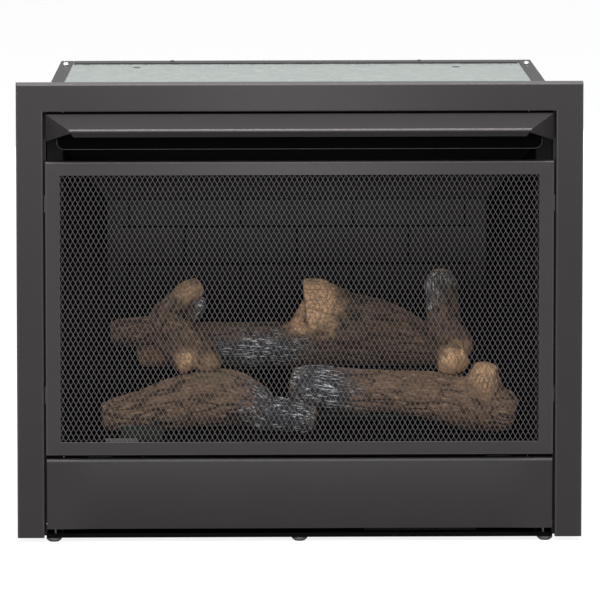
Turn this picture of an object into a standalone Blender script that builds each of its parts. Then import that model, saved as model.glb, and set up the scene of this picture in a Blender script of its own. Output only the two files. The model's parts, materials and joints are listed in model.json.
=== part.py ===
"""Vent-free gas fireplace insert: a steel firebox with a black surround, a hood, a pull-off
screen of expanded metal, a drop-down control door, a gas train and a set of ceramic logs.

All sizes are metres.  +Z is up and the front looks along -Y.  The origin is on the floor, under
the middle of the whole object.  A depth is measured back from the surround's front face.
"""
import math

import bmesh
import bpy
from mathutils import Matrix, Vector

# Sheet metal and clearances
SHEET = 0.0012
SEAT_GAP = 0.0003
OVERRUN = 0.006
BEND_RADIUS = 0.0009
WELD_DISTANCE = 0.00001

# Surround: the black trim round the opening
SURROUND_WIDTH = 0.735
SURROUND_TOP = 0.605
SURROUND_BOTTOM = 0.0063
SURROUND_DEPTH = 0.018
LEG_WIDTH = 0.035
RAIL_HEIGHT = 0.0368
OPENING_WIDTH = SURROUND_WIDTH - 2 * LEG_WIDTH
OPENING_TOP = SURROUND_TOP - RAIL_HEIGHT

# Casing: the outer box, narrower at the back than at the front
CASING_SIDE_GAP = 0.0025
CASING_TAPER = 0.0206
CASING_FRONT_WIDTH = OPENING_WIDTH - 2 * CASING_SIDE_GAP
CASING_BACK_WIDTH = CASING_FRONT_WIDTH - 2 * CASING_TAPER
CASING_DEPTH = 0.295
CASING_BOTTOM = 0.006
CASING_BELOW_TRIM = 0.0162
CASING_TOP = SURROUND_TOP - CASING_BELOW_TRIM
TOP_SIDE_FLANGE = 0.0165
TOP_BACK_FLANGE = 0.020
FIXING_FLANGE = 0.020
TOP_HOLE_DIAMETER = 0.0105
TOP_HOLE_FROM_SIDE = 0.0994
TOP_HOLE_FROM_BACK = 0.048
GAS_HOLE_DIAMETER = 0.045
SCREW_HEAD_DIAMETER = 0.008
SCREW_HEAD_HEIGHT = 0.003
SCREW_FROM_BACK = 0.032

# Base pan and feet
BASE_FRONT_DEPTH = 0.003
BASE_HEM_TOP = 0.0115
FOOT_DIAMETER = 0.020
FOOT_TIP_DIAMETER = 0.013
FOOT_FRONT_DEPTH = 0.0135
FOOT_FROM_BACK = 0.025
FOOT_FROM_SIDE = 0.010
FOOT_BACK_FROM_SIDE = 0.018

# Hood and the baffle under it
HOOD_REACH = 0.042
HOOD_SIDE_GAP = 0.0035
HOOD_TOP_GAP = 0.0029
HOOD_END_SPLAY = 0.031
HOOD_FALL = 0.0141
HOOD_LIP_HEIGHT = 0.0105
HOOD_LIP_SPLAY = 0.0055
HOOD_END_HEIGHT = 0.035
HOOD_BACK_WIDTH = OPENING_WIDTH - 2 * HOOD_SIDE_GAP
HOOD_FRONT_WIDTH = HOOD_BACK_WIDTH - 2 * HOOD_END_SPLAY
HOOD_LIP_LOW_WIDTH = HOOD_FRONT_WIDTH - 2 * HOOD_LIP_SPLAY
HOOD_TOP = OPENING_TOP - HOOD_TOP_GAP
HOOD_FRONT_TOP = HOOD_TOP - HOOD_FALL
HOOD_LIP_BOTTOM = HOOD_FRONT_TOP - HOOD_LIP_HEIGHT
HOOD_SIDE_BOTTOM = HOOD_TOP - HOOD_END_HEIGHT
BAFFLE_FROM_SIDE = 0.014
BAFFLE_BELOW_HOOD = 0.0119
BAFFLE_HEIGHT = 0.0365
BAFFLE_WIDTH = HOOD_BACK_WIDTH - 2 * BAFFLE_FROM_SIDE
BAFFLE_TOP = HOOD_TOP - BAFFLE_BELOW_HOOD
BAFFLE_BOTTOM = BAFFLE_TOP - BAFFLE_HEIGHT
BAFFLE_DEPTH = 0.013
BAFFLE_CORNER = 0.010

# Posts behind the screen and the door
POST_FRONT_DEPTH = 0.016
POST_RETURN = 0.024
POST_WIDTH = 0.023
POST_INNER_SPACING = CASING_FRONT_WIDTH - 2 * POST_WIDTH

# Firebox lining, whose floor lies just above the lower door
DOOR_BOTTOM = 0.0176
DOOR_HEIGHT = 0.0933
DOOR_TOP_GAP = 0.003
FLOOR_TOP = DOOR_BOTTOM + DOOR_HEIGHT + DOOR_TOP_GAP + SHEET
FLOOR_LIP_DEPTH = 0.003
REAR_WALL_DEPTH = 0.230
REAR_WALL_HEIGHT = 0.2988
SIDE_WALL_SPLAY = 0.057
REAR_WALL_WIDTH = POST_INNER_SPACING - 2 * SIDE_WALL_SPLAY
REAR_WALL_TOP = FLOOR_TOP + REAR_WALL_HEIGHT
RIB_HEIGHT_SHARES = (0.706, 0.876)
RIB_WIDTH = 0.004
RIB_PROUD = 0.0015
ROOF_SLOPE = 0.5

# Screen
SCREEN_SIDE_GAP = 0.0025
SCREEN_TOP_GAP = 0.0145
SCREEN_WIDTH = OPENING_WIDTH - 2 * SCREEN_SIDE_GAP
SCREEN_BOTTOM = FLOOR_TOP + SEAT_GAP
SCREEN_HEIGHT = BAFFLE_BOTTOM - SCREEN_TOP_GAP - SCREEN_BOTTOM
SCREEN_FACE_DEPTH = 0.001
SCREEN_THICKNESS = 0.012
SCREEN_SIDE_BAR = 0.019
SCREEN_TOP_BAR = 0.0175
SCREEN_BOTTOM_BAR = 0.0175
NET_THICKNESS = 0.0015
NET_BORDER = 0.008
NET_COLUMNS = 19
NET_ROWS = 6
NET_STRAND = 0.0030
CLIP_FROM_BOTTOM = 0.080
CLIP_FROM_TOP = 0.055
CLIP_LENGTH = 0.022
CLIP_THICKNESS = 0.0008
CLIP_BOW = 0.0014

# Lower door, its hinges and its catches
DOOR_SIDE_GAP = 0.0035
DOOR_WIDTH = OPENING_WIDTH - 2 * DOOR_SIDE_GAP
DOOR_FACE_DEPTH = 0.001
DOOR_THICKNESS = 0.012
DOOR_BEND = 0.006
HINGE_INSET = 0.006
HINGE_PIN_DIAMETER = 0.004
HINGE_PIN_LENGTH = 0.0145
HINGE_FROM_END = 0.011
HINGE_SPACING = DOOR_WIDTH - 2 * HINGE_FROM_END
HINGE_PLATE = 0.002
HINGE_EYE_DIAMETER = 0.0086
HINGE_FOOT_DEPTH = 0.010
HINGE_RUNNING_GAP = 0.0004
CATCH_FROM_END = 0.069
CATCH_SPACING = DOOR_WIDTH - 2 * CATCH_FROM_END
CATCH_WIDTH = 0.030
CATCH_HEIGHT = 0.012
CATCH_LENGTH = 0.018
CATCH_TAB = 0.006
CATCH_BELOW_FLOOR = 0.008

# Burner and the steelwork that carries the logs
BURNER_FROM_WALL = 0.040
BURNER_LENGTH = REAR_WALL_WIDTH - 2 * BURNER_FROM_WALL
BURNER_DIAMETER = 0.022
BURNER_DEPTH = 0.1465
BURNER_ABOVE_FLOOR = 0.0249
BURNER_HEIGHT = FLOOR_TOP + BURNER_ABOVE_FLOOR
BURNER_FOOT_FROM_END = 0.040
BURNER_FOOT_SPACING = BURNER_LENGTH - 2 * BURNER_FOOT_FROM_END
BURNER_FOOT_WIDTH = 0.016
BURNER_INLET_FROM_IGNITER = 0.010
BURNER_INLET_DIAMETER = 0.018
BURNER_INLET_BELOW_FLOOR = 0.0091
BURNER_INLET_BOTTOM = FLOOR_TOP - BURNER_INLET_BELOW_FLOOR
INJECTOR_DIAMETER = 0.012
INJECTOR_LENGTH = 0.018
GRATE_FROM_POST = 0.047
GRATE_WIDTH = POST_INNER_SPACING - 2 * GRATE_FROM_POST
GRATE_HEIGHT = 0.0149
GRATE_TOP = FLOOR_TOP + GRATE_HEIGHT
GRATE_DEPTH = 0.062
GRATE_LENGTH = 0.050
GRATE_SLOTS = 12
GRATE_SLOT_WIDTH = 0.018
GRATE_SLOT_HEIGHT = 0.005
REST_FROM_WALL = 0.060
REST_WIDTH = REAR_WALL_WIDTH - 2 * REST_FROM_WALL
REST_HEIGHT = 0.0846
REST_TOP = FLOOR_TOP + REST_HEIGHT
REST_DEPTH = 0.158
REST_LENGTH = 0.034
REST_LEG_FROM_END = 0.040
REST_LEG_SPACING = REST_WIDTH - 2 * REST_LEG_FROM_END
REST_LEG_WIDTH = 0.024

# Pilot with its spark electrode and thermocouple
PILOT_FROM_GRATE_END = 0.055
PILOT_X = PILOT_FROM_GRATE_END - GRATE_WIDTH / 2
PILOT_DEPTH = 0.034
PILOT_WIDTH = 0.054
PILOT_SHELF_HEIGHT = 0.0189
PILOT_SHELF_TOP = FLOOR_TOP + PILOT_SHELF_HEIGHT
PILOT_SHELF_LENGTH = 0.022
PILOT_HEIGHT = 0.0319
PILOT_TOP = FLOOR_TOP + PILOT_HEIGHT
PILOT_SPACING = 0.016
PILOT_BODY_DIAMETER = 0.008
PILOT_HEAD_HEIGHT = 0.016
PROBE_DIAMETER = 0.005
PROBE_HEIGHT = 0.020
ELECTRODE_DIAMETER = 0.006
ELECTRODE_HEIGHT = 0.014
FLOOR_HOLE_DIAMETER = 0.020

# Controls behind the lower door
DOOR_CONTROL_GAP = 0.0015
KNOB_LENGTH = 0.018
KNOB_PANEL_GAP = 0.006
KNOB_FRONT_DEPTH = DOOR_FACE_DEPTH + DOOR_THICKNESS + DOOR_CONTROL_GAP
PANEL_DEPTH = KNOB_FRONT_DEPTH + KNOB_LENGTH + KNOB_PANEL_GAP
KNOB_FROM_SIDE = 0.145
IGNITER_FROM_KNOB = 0.065
PANEL_PAST_KNOB = 0.047
PANEL_PAST_IGNITER = 0.035
KNOB_X = CASING_FRONT_WIDTH / 2 - KNOB_FROM_SIDE
IGNITER_X = KNOB_X - IGNITER_FROM_KNOB
BURNER_INLET_X = IGNITER_X - BURNER_INLET_FROM_IGNITER
PANEL_LEFT = IGNITER_X - PANEL_PAST_IGNITER
PANEL_RIGHT = KNOB_X + PANEL_PAST_KNOB
PANEL_TOP_GAP = 0.0101
PANEL_TOP = FLOOR_TOP - PANEL_TOP_GAP
PANEL_FOOT = 0.018
CONTROL_HEIGHT = 0.062
KNOB_DIAMETER = 0.042
KNOB_TOP_DIAMETER = 0.034
KNOB_SKIRT = 0.004
KNOB_GRIP_WIDTH = 0.007
KNOB_GRIP_PROUD = 0.002
KNOB_WALL = 0.003
KNOB_TRAVEL = 0.003
STEM_DIAMETER = 0.008
STEM_PAST_PANEL = 0.014
STEM_END_DEPTH = PANEL_DEPTH + STEM_PAST_PANEL
VALVE_WIDTH = 0.050
VALVE_HEIGHT = 0.044
VALVE_PAST_PANEL = 0.052
VALVE_END_DEPTH = PANEL_DEPTH + VALVE_PAST_PANEL
VALVE_PORT_FROM_END = 0.010
VALVE_PORT_DEPTH = VALVE_END_DEPTH - VALVE_PORT_FROM_END
VALVE_PORT_DROP = 0.012
IGNITER_DIAMETER = 0.018
IGNITER_FLANGE_DIAMETER = 0.024
IGNITER_FLANGE = 0.002
IGNITER_PAST_PANEL = 0.032
IGNITER_END_DEPTH = PANEL_DEPTH + IGNITER_PAST_PANEL
BUTTON_DIAMETER = 0.012
BUTTON_CAP_DIAMETER = 0.016
BUTTON_CAP = 0.004
BUTTON_PROUD = 0.013
BUTTON_PAST_PANEL = 0.015
BUTTON_FRONT_DEPTH = PANEL_DEPTH - BUTTON_PROUD
BUTTON_END_DEPTH = PANEL_DEPTH + BUTTON_PAST_PANEL
BUTTON_TRAVEL = 0.005
REGULATOR_DEPTH = 0.150
REGULATOR_DIAMETER = 0.050
REGULATOR_HEIGHT = 0.028
SUPPLY_PIPE_DIAMETER = 0.010
INLET_PIPE_DIAMETER = 0.014
INLET_FITTING_DIAMETER = 0.022
INLET_FITTING_LENGTH = 0.016
INLET_FROM_SIDE = 0.0148
BURNER_PIPE_DIAMETER = 0.008
PILOT_PIPE_DIAMETER = 0.0048
LEAD_DIAMETER = 0.003
PIPE_RUN_DEPTH = 0.100
PIPE_BELOW_FLOOR = 0.0231
PIPE_RUN_HEIGHT = FLOOR_TOP - PIPE_BELOW_FLOOR
PIPE_BEND_RADIUS = 0.014
LEAD_BEND_SHARE = 1.5

# Logs.  Their places are shares of the bed that they lie in.
BED_FROM_POST = 0.027
BED_WIDTH = POST_INNER_SPACING - 2 * BED_FROM_POST
BED_DEPTH = 0.200
PILE_HEIGHT = 0.200
LOG_RADIUS = 0.040
LOG_GAP = 0.0005
BARK_DEPTH = 0.0016
BARK_PITCH = 0.034

# Each row: place across the half bed, back from the surround, up from the grate, and radius.
REAR_LOG_SHARES = (
    (-0.741, 0.875, 0.413, 0.36), (-0.690, 0.875, 0.445, 0.54), (-0.500, 0.875, 0.490, 0.74),
    (-0.215, 0.875, 0.496, 0.76), (0.055, 0.875, 0.496, 0.76), (0.195, 0.875, 0.500, 0.78))
STUMP_SHARES = (
    (0.035, 0.875, 0.640, 1.49), (0.105, 0.875, 0.632, 1.45), (0.200, 0.875, 0.609, 1.34),
    (0.387, 0.875, 0.569, 1.14), (0.551, 0.875, 0.509, 0.84), (0.625, 0.875, 0.485, 0.72),
    (0.705, 0.875, 0.467, 0.57), (0.750, 0.875, 0.447, 0.36))
STUMP_FLATNESS_SHARE = 0.62
LEFT_FRONT_SHARES = (
    (-0.925, 0.475, 0.100, 0.34), (-0.885, 0.475, 0.108, 0.46), (-0.835, 0.475, 0.120, 0.60),
    (-0.720, 0.475, 0.150, 0.76), (-0.648, 0.475, 0.170, 0.86), (-0.461, 0.475, 0.205, 0.96),
    (-0.298, 0.470, 0.215, 0.86), (-0.215, 0.460, 0.170, 0.70), (-0.150, 0.450, 0.118, 0.58),
    (-0.064, 0.440, 0.100, 0.54), (0.029, 0.430, 0.080, 0.44), (0.085, 0.420, 0.068, 0.30))
LEFT_KNOT_SHARES = ((-0.405, 0.460, 0.25, 0.36), (-0.400, 0.370, 0.41, 0.30))
RIGHT_FRONT_SHARES = (
    (-0.020, 0.510, 0.306, 0.56), (0.030, 0.508, 0.300, 0.64), (0.193, 0.495, 0.262, 0.76),
    (0.473, 0.490, 0.250, 0.76), (0.600, 0.470, 0.235, 0.81), (0.707, 0.450, 0.209, 0.89),
    (0.847, 0.420, 0.169, 0.87), (0.930, 0.400, 0.155, 0.77), (0.975, 0.385, 0.142, 0.56),
    (1.010, 0.380, 0.135, 0.30))
RIGHT_KNOT_SHARES = ((0.845, 0.400, 0.26, 0.50), (0.862, 0.280, 0.42, 0.44))
LEFT_BRANCH_SHARES = (
    (-0.462, 0.860, 0.895, 0.30), (-0.490, 0.845, 0.872, 0.40), (-0.563, 0.800, 0.783, 0.46),
    (-0.634, 0.720, 0.683, 0.52), (-0.615, 0.600, 0.600, 0.49), (-0.593, 0.540, 0.545, 0.46),
    (-0.523, 0.455, 0.432, 0.42))
LEFT_ARM_SHARES = (
    (-0.610, 0.700, 0.655, 0.46), (-0.694, 0.700, 0.639, 0.48), (-0.800, 0.700, 0.628, 0.46),
    (-0.850, 0.700, 0.622, 0.44), (-0.885, 0.700, 0.620, 0.34))
RIGHT_BRANCH_SHARES = (
    (0.672, 0.862, 0.972, 0.40), (0.672, 0.850, 0.945, 0.52), (0.676, 0.800, 0.850, 0.57),
    (0.682, 0.720, 0.720, 0.59), (0.690, 0.620, 0.640, 0.58), (0.700, 0.540, 0.574, 0.57),
    (0.727, 0.410, 0.448, 0.51))
RIGHT_BRANCH_KNOT_SHARES = ((0.715, 0.560, 0.585, 0.36), (0.784, 0.500, 0.563, 0.30))

FACE_Y = (HOOD_REACH - CASING_DEPTH) / 2
DOOR_AXIS_DEPTH = DOOR_FACE_DEPTH + HINGE_INSET
DOOR_AXIS_HEIGHT = DOOR_BOTTOM + HINGE_INSET
FULL_TURN = 2 * math.pi
ROUND_SIDES = 20
SMALL_ROUND_SIDES = 12

PARTS = None
GUIDES = None


# Scene, materials and small tools
def start_scene():
    """Empty the scene and make the two collections."""
    global PARTS, GUIDES
    for old in list(bpy.data.objects):
        bpy.data.objects.remove(old, do_unlink=True)
    PARTS = bpy.data.collections.new("gas_fireplace_insert")
    GUIDES = bpy.data.collections.new("cutters")
    bpy.context.scene.collection.children.link(PARTS)
    bpy.context.scene.collection.children.link(GUIDES)


def finish(name, colour, roughness, metallic):
    """A Principled material with one colour."""
    made = bpy.data.materials.new(name)
    made.use_nodes = True
    shader = made.node_tree.nodes["Principled BSDF"]
    shader.inputs["Base Color"].default_value = (*colour, 1.0)
    shader.inputs["Roughness"].default_value = roughness
    shader.inputs["Metallic"].default_value = metallic
    made.diffuse_color = (*colour, 1.0)
    return made


def powder_coat():
    return finish("black_powder_coat", (0.035, 0.034, 0.033), 0.55, 0.0)


def stove_paint():
    return finish("matt_stove_paint", (0.016, 0.016, 0.016), 0.75, 0.0)


def galvanised():
    return finish("galvanised_steel", (0.46, 0.50, 0.48), 0.45, 0.9)


def bare_steel():
    return finish("aluminised_steel", (0.36, 0.36, 0.35), 0.45, 0.9)


def brass():
    return finish("brass", (0.55, 0.38, 0.13), 0.35, 1.0)


def cast_aluminium():
    return finish("cast_aluminium", (0.42, 0.42, 0.43), 0.5, 0.8)


def black_plastic():
    return finish("black_plastic", (0.02, 0.02, 0.02), 0.4, 0.0)


def red_plastic():
    return finish("red_plastic", (0.45, 0.03, 0.02), 0.4, 0.0)


def rubber():
    return finish("grey_rubber", (0.16, 0.16, 0.16), 0.8, 0.0)


def ceramic():
    return finish("white_ceramic", (0.75, 0.73, 0.68), 0.4, 0.0)


def bark():
    return finish("ceramic_fibre_log", (0.14, 0.10, 0.07), 0.95, 0.0)


def keep(obj, colour):
    """Move an object into the part collection and give it its material."""
    for old in list(obj.users_collection):
        old.objects.unlink(obj)
    PARTS.objects.link(obj)
    obj.data.materials.clear()
    obj.data.materials.append(colour)
    return obj


def as_guide(obj):
    """Make an object a cutter that is only drawn as wire."""
    for old in list(obj.users_collection):
        old.objects.unlink(obj)
    GUIDES.objects.link(obj)
    obj.hide_render = True
    obj.display_type = "WIRE"
    return obj


def mesh_object(name, mesh_data):
    obj = bpy.data.objects.new(name, mesh_data)
    bpy.context.scene.collection.objects.link(obj)
    return obj


def curve_to_mesh(curve_obj):
    """Turn a curve into a mesh with its caps welded on."""
    bpy.context.view_layer.update()
    graph = bpy.context.evaluated_depsgraph_get()
    data = bpy.data.meshes.new_from_object(curve_obj.evaluated_get(graph))
    edit = bmesh.new()
    edit.from_mesh(data)
    bmesh.ops.remove_doubles(edit, verts=edit.verts, dist=WELD_DISTANCE)
    edit.to_mesh(data)
    edit.free()
    name = curve_obj.name
    place = curve_obj.matrix_world.copy()
    bpy.data.objects.remove(curve_obj, do_unlink=True)
    obj = mesh_object(name, data)
    obj.matrix_world = place
    return obj


def cut(obj, cutter):
    step = obj.modifiers.new("cut_" + cutter.name, "BOOLEAN")
    step.operation = "DIFFERENCE"
    step.object = as_guide(cutter)
    return obj


def join(obj, added):
    step = obj.modifiers.new("join_" + added.name, "BOOLEAN")
    step.operation = "UNION"
    step.object = as_guide(added)
    return obj


def carry(parent, obj):
    """Parent an object to an empty without moving it."""
    bpy.context.view_layer.update()
    obj.parent = parent
    obj.matrix_parent_inverse = parent.matrix_world.inverted()
    return obj


def axis_empty(name, place):
    empty = bpy.data.objects.new(name, None)
    empty.location = place
    empty.empty_display_size = LEG_WIDTH
    PARTS.objects.link(empty)
    return empty


def at_depth(depth):
    """World Y of a depth measured back from the surround's face."""
    return FACE_Y + depth


# Solids
def block(name, across, depths, heights):
    """A box between two X values, two depths and two heights."""
    bpy.ops.mesh.primitive_cube_add(size=1.0)
    obj = bpy.context.active_object
    obj.name = name
    obj.data.name = name
    size = Vector((across[1] - across[0], depths[1] - depths[0], heights[1] - heights[0]))
    obj.data.transform(Matrix.Diagonal((*size, 1.0)))
    obj.location = (sum(across) / 2, at_depth(sum(depths) / 2), sum(heights) / 2)
    return obj


def rounded(obj, width, segments=2):
    step = obj.modifiers.new("rounded_edges", "BEVEL")
    step.width = width
    step.segments = segments
    step.limit_method = "ANGLE"
    return obj


PLANES = {
    "plan": Matrix.Identity(4),
    "front": Matrix.Rotation(math.pi / 2, 4, "X"),
    "side": Matrix(((0, 0, 1, 0), (1, 0, 0, 0), (0, 1, 0, 0), (0, 0, 0, 1))),
}
PLANE_THICKNESS = {
    "plan": Vector((0, 0, 1)),
    "front": Vector((0, 1, 0)),
    "side": Vector((1, 0, 0)),
}


def plate(name, plane, outline, span, holes=()):
    """A flat outline with holes, drawn in plan, from the front or from the side, and thickened
    between the two values of span along the third direction."""
    curve = bpy.data.curves.new(name, "CURVE")
    curve.dimensions = "2D"
    curve.fill_mode = "BOTH"
    curve.extrude = (span[1] - span[0]) / 2
    for loop in (outline, *holes):
        spline = curve.splines.new("POLY")
        spline.points.add(len(loop) - 1)
        for point, (u, v) in zip(spline.points, loop):
            point.co = (u, v, 0.0, 1.0)
        spline.use_cyclic_u = True
    obj = mesh_object(name, curve)
    move = Matrix.Translation(PLANE_THICKNESS[plane] * (sum(span) / 2))
    obj.matrix_world = move @ PLANES[plane]
    return curve_to_mesh(obj)


def rod(name, start, end, radius, sides=ROUND_SIDES, end_radius=None):
    """A round bar or cone between two points."""
    start = Vector(start)
    end = Vector(end)
    along = end - start
    edit = bmesh.new()
    bmesh.ops.create_cone(
        edit, cap_ends=True, cap_tris=False, segments=sides, radius1=radius,
        radius2=radius if end_radius is None else end_radius, depth=along.length)
    data = bpy.data.meshes.new(name)
    edit.to_mesh(data)
    edit.free()
    obj = mesh_object(name, data)
    turn = along.to_track_quat("Z", "Y").to_matrix().to_4x4()
    obj.matrix_world = Matrix.Translation((start + end) / 2) @ turn
    return obj


def turned(name, profile, place, sides=ROUND_SIDES):
    """A profile of radius and height, from the top down its outer side, spun round Z."""
    data = bpy.data.meshes.new(name)
    edit = bmesh.new()
    corners = [edit.verts.new((radius, 0.0, height)) for radius, height in profile]
    for first, second in zip(corners, corners[1:]):
        edit.edges.new((first, second))
    edit.to_mesh(data)
    edit.free()
    obj = mesh_object(name, data)
    obj.location = place
    step = obj.modifiers.new("turn", "SCREW")
    step.steps = sides
    step.render_steps = sides
    step.use_merge_vertices = True
    step.merge_threshold = WELD_DISTANCE
    return obj


def hull(name, points):
    """The convex solid round a few points."""
    edit = bmesh.new()
    corners = [edit.verts.new(point) for point in points]
    made = bmesh.ops.convex_hull(edit, input=corners)
    spare = {item for key in ("geom_interior", "geom_unused") for item in made[key]}
    bmesh.ops.delete(edit, geom=[item for item in spare if isinstance(item, bmesh.types.BMVert)])
    bmesh.ops.recalc_face_normals(edit, faces=edit.faces)
    data = bpy.data.meshes.new(name)
    edit.to_mesh(data)
    edit.free()
    return mesh_object(name, data)


def wire(name, points, radius, resolution=1):
    """A round tube along a list of points."""
    curve = bpy.data.curves.new(name, "CURVE")
    curve.dimensions = "3D"
    curve.bevel_depth = radius
    curve.bevel_resolution = resolution
    curve.use_fill_caps = True
    spline = curve.splines.new("POLY")
    spline.points.add(len(points) - 1)
    for point, place in zip(spline.points, points):
        point.co = (*place, 1.0)
    return curve_to_mesh(mesh_object(name, curve))


def bent_path(corners, radius, steps=3):
    """The corners of a route with each inner corner rounded by an arc."""
    corners = [Vector(corner) for corner in corners]
    path = [corners[0]]
    for before, corner, after in zip(corners, corners[1:], corners[2:]):
        back = (before - corner).normalized()
        forth = (after - corner).normalized()
        half_angle = back.angle(forth) / 2
        reach = radius / math.tan(half_angle)
        middle = corner + (back + forth).normalized() * (radius / math.sin(half_angle))
        first = (corner + back * reach - middle).normalized()
        last = (corner + forth * reach - middle).normalized()
        for step in range(steps + 1):
            path.append(middle + first.slerp(last, step / steps) * radius)
    path.append(corners[-1])
    return path


def arc(centre, radius, start, end, steps):
    """Points along part of a circle, with the angles in degrees."""
    points = []
    for step in range(steps + 1):
        angle = math.radians(start + (end - start) * step / steps)
        points.append((centre[0] + radius * math.cos(angle), centre[1] + radius * math.sin(angle)))
    return points


def ring(centre, radius):
    """Points round a small whole circle."""
    return arc(centre, radius, 0, 360 - 360 / SMALL_ROUND_SIDES, SMALL_ROUND_SIDES - 1)


def mirrored_pair(make):
    """Call a maker for the left side and for the right side."""
    for side_name, side in (("left", -1), ("right", 1)):
        make(side_name, side)


# Casing
def casing_half_width(depth):
    """Half the casing's outer width at a depth."""
    share = (depth - SURROUND_DEPTH) / (CASING_DEPTH - SURROUND_DEPTH)
    return (CASING_FRONT_WIDTH + (CASING_BACK_WIDTH - CASING_FRONT_WIDTH) * share) / 2


def inside_half_width(depth):
    """Half the width of a sheet that lies between the side panels."""
    return casing_half_width(depth) - SHEET - SEAT_GAP


def trapezium(front, back, half_width):
    """A plan outline between two depths whose sides follow a rule."""
    return (
        (-half_width(front), at_depth(front)), (half_width(front), at_depth(front)),
        (half_width(back), at_depth(back)), (-half_width(back), at_depth(back)))


def side_panel(side_name, side):
    """A side sheet with a fixing flange turned out at the front and a flange turned in on top."""
    front = SURROUND_DEPTH + SEAT_GAP
    back = CASING_DEPTH
    name = "side_panel_" + side_name
    outline = (
        (side * (casing_half_width(front) - TOP_SIDE_FLANGE), at_depth(front)),
        (side * (casing_half_width(front) + FIXING_FLANGE), at_depth(front)),
        (side * (casing_half_width(front) + FIXING_FLANGE), at_depth(front + SHEET)),
        (side * casing_half_width(front + SHEET), at_depth(front + SHEET)),
        (side * casing_half_width(back), at_depth(back)),
        (side * (casing_half_width(back) - TOP_SIDE_FLANGE), at_depth(back)))
    panel = plate(name, "plan", outline, (CASING_BOTTOM, CASING_TOP))
    before = front - OVERRUN
    after = back + OVERRUN
    inside = (
        (side * (casing_half_width(before) - TOP_SIDE_FLANGE - OVERRUN), at_depth(before)),
        (side * (casing_half_width(before) - SHEET), at_depth(before)),
        (side * (casing_half_width(after) - SHEET), at_depth(after)),
        (side * (casing_half_width(after) - TOP_SIDE_FLANGE - OVERRUN), at_depth(after)))
    cut(panel, plate(name + "_inside", "plan", inside, (CASING_BOTTOM - OVERRUN, CASING_TOP - SHEET)))
    if side > 0:
        depth = REGULATOR_DEPTH
        reach = casing_half_width(depth)
        cut(panel, rod(
            "gas_line_hole", (reach - OVERRUN, at_depth(depth), CONTROL_HEIGHT),
            (reach + OVERRUN, at_depth(depth), CONTROL_HEIGHT), GAS_HOLE_DIAMETER / 2))
    keep(panel, powder_coat())


def back_panel():
    """The back sheet, with a flange turned forward over the top panel."""
    back = CASING_DEPTH
    front = back - TOP_BACK_FLANGE
    panel = plate("back_panel", "plan", trapezium(front, back, inside_half_width),
                  (CASING_BOTTOM, CASING_TOP))
    wide = max(CASING_FRONT_WIDTH, CASING_BACK_WIDTH) / 2 + OVERRUN
    cut(panel, block("back_panel_front", (-wide, wide), (front - OVERRUN, back - SHEET),
                     (CASING_BOTTOM - OVERRUN, CASING_TOP - SHEET)))
    for side in (-1, 1):
        inner = casing_half_width(back) - TOP_SIDE_FLANGE - SEAT_GAP
        across = sorted((side * inner, side * wide))
        cut(panel, block("back_panel_corner", across, (front - OVERRUN, back + OVERRUN),
                         (CASING_TOP - SHEET - SEAT_GAP, CASING_TOP + OVERRUN)))
    keep(panel, powder_coat())


def top_panel():
    """The galvanised top, held under the side and back flanges, with its two round holes."""
    top = CASING_TOP - SHEET - SEAT_GAP
    front = SURROUND_DEPTH + SEAT_GAP
    back = CASING_DEPTH - SHEET - SEAT_GAP
    hole_y = at_depth(CASING_DEPTH - TOP_HOLE_FROM_BACK)
    reach = CASING_BACK_WIDTH / 2 - TOP_HOLE_FROM_SIDE
    holes = [ring((side * reach, hole_y), TOP_HOLE_DIAMETER / 2) for side in (-1, 1)]
    panel = plate("top_panel", "plan", trapezium(front, back, inside_half_width),
                  (top - SHEET, top), holes)
    keep(panel, galvanised())


def top_screw(side_name, side):
    """A pan head screw in the top flange, near the back corner."""
    depth = CASING_DEPTH - SCREW_FROM_BACK
    place = (side * (casing_half_width(depth) - TOP_SIDE_FLANGE / 2), at_depth(depth),
             CASING_TOP + SEAT_GAP)
    radius = SCREW_HEAD_DIAMETER / 2
    profile = ((0, SCREW_HEAD_HEIGHT), (radius / 2, SCREW_HEAD_HEIGHT),
               (radius, SCREW_HEAD_HEIGHT / 2), (radius, 0), (0, 0))
    keep(turned("top_screw_" + side_name, profile, place, SMALL_ROUND_SIDES), galvanised())


def base_pan():
    """The bottom sheet with a hem turned up along its front edge."""
    front = BASE_FRONT_DEPTH
    back = CASING_DEPTH - SHEET - SEAT_GAP
    pan = plate("base_pan", "plan", trapezium(front, back, inside_half_width),
                (CASING_BOTTOM, BASE_HEM_TOP))
    wide = CASING_FRONT_WIDTH
    cut(pan, block("base_pan_inside", (-wide, wide), (front + SHEET, back + OVERRUN),
                   (CASING_BOTTOM + SHEET, BASE_HEM_TOP + OVERRUN)))
    keep(pan, powder_coat())


def feet():
    """Three feet under the front edge and two under the back."""
    top = CASING_BOTTOM - SEAT_GAP
    front_reach = CASING_FRONT_WIDTH / 2 - FOOT_FROM_SIDE
    back_depth = CASING_DEPTH - FOOT_FROM_BACK
    back_reach = casing_half_width(back_depth) - FOOT_BACK_FROM_SIDE
    places = {
        "foot_front_left": (-front_reach, FOOT_FRONT_DEPTH),
        "foot_front_middle": (0, FOOT_FRONT_DEPTH),
        "foot_front_right": (front_reach, FOOT_FRONT_DEPTH),
        "foot_back_left": (-back_reach, back_depth),
        "foot_back_right": (back_reach, back_depth),
    }
    profile = ((0, top), (FOOT_DIAMETER / 2, top), (FOOT_DIAMETER / 2, top / 2),
               (FOOT_TIP_DIAMETER / 2, 0), (0, 0))
    for name, (across, depth) in places.items():
        keep(turned(name, profile, (across, at_depth(depth), 0)), rubber())


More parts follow.
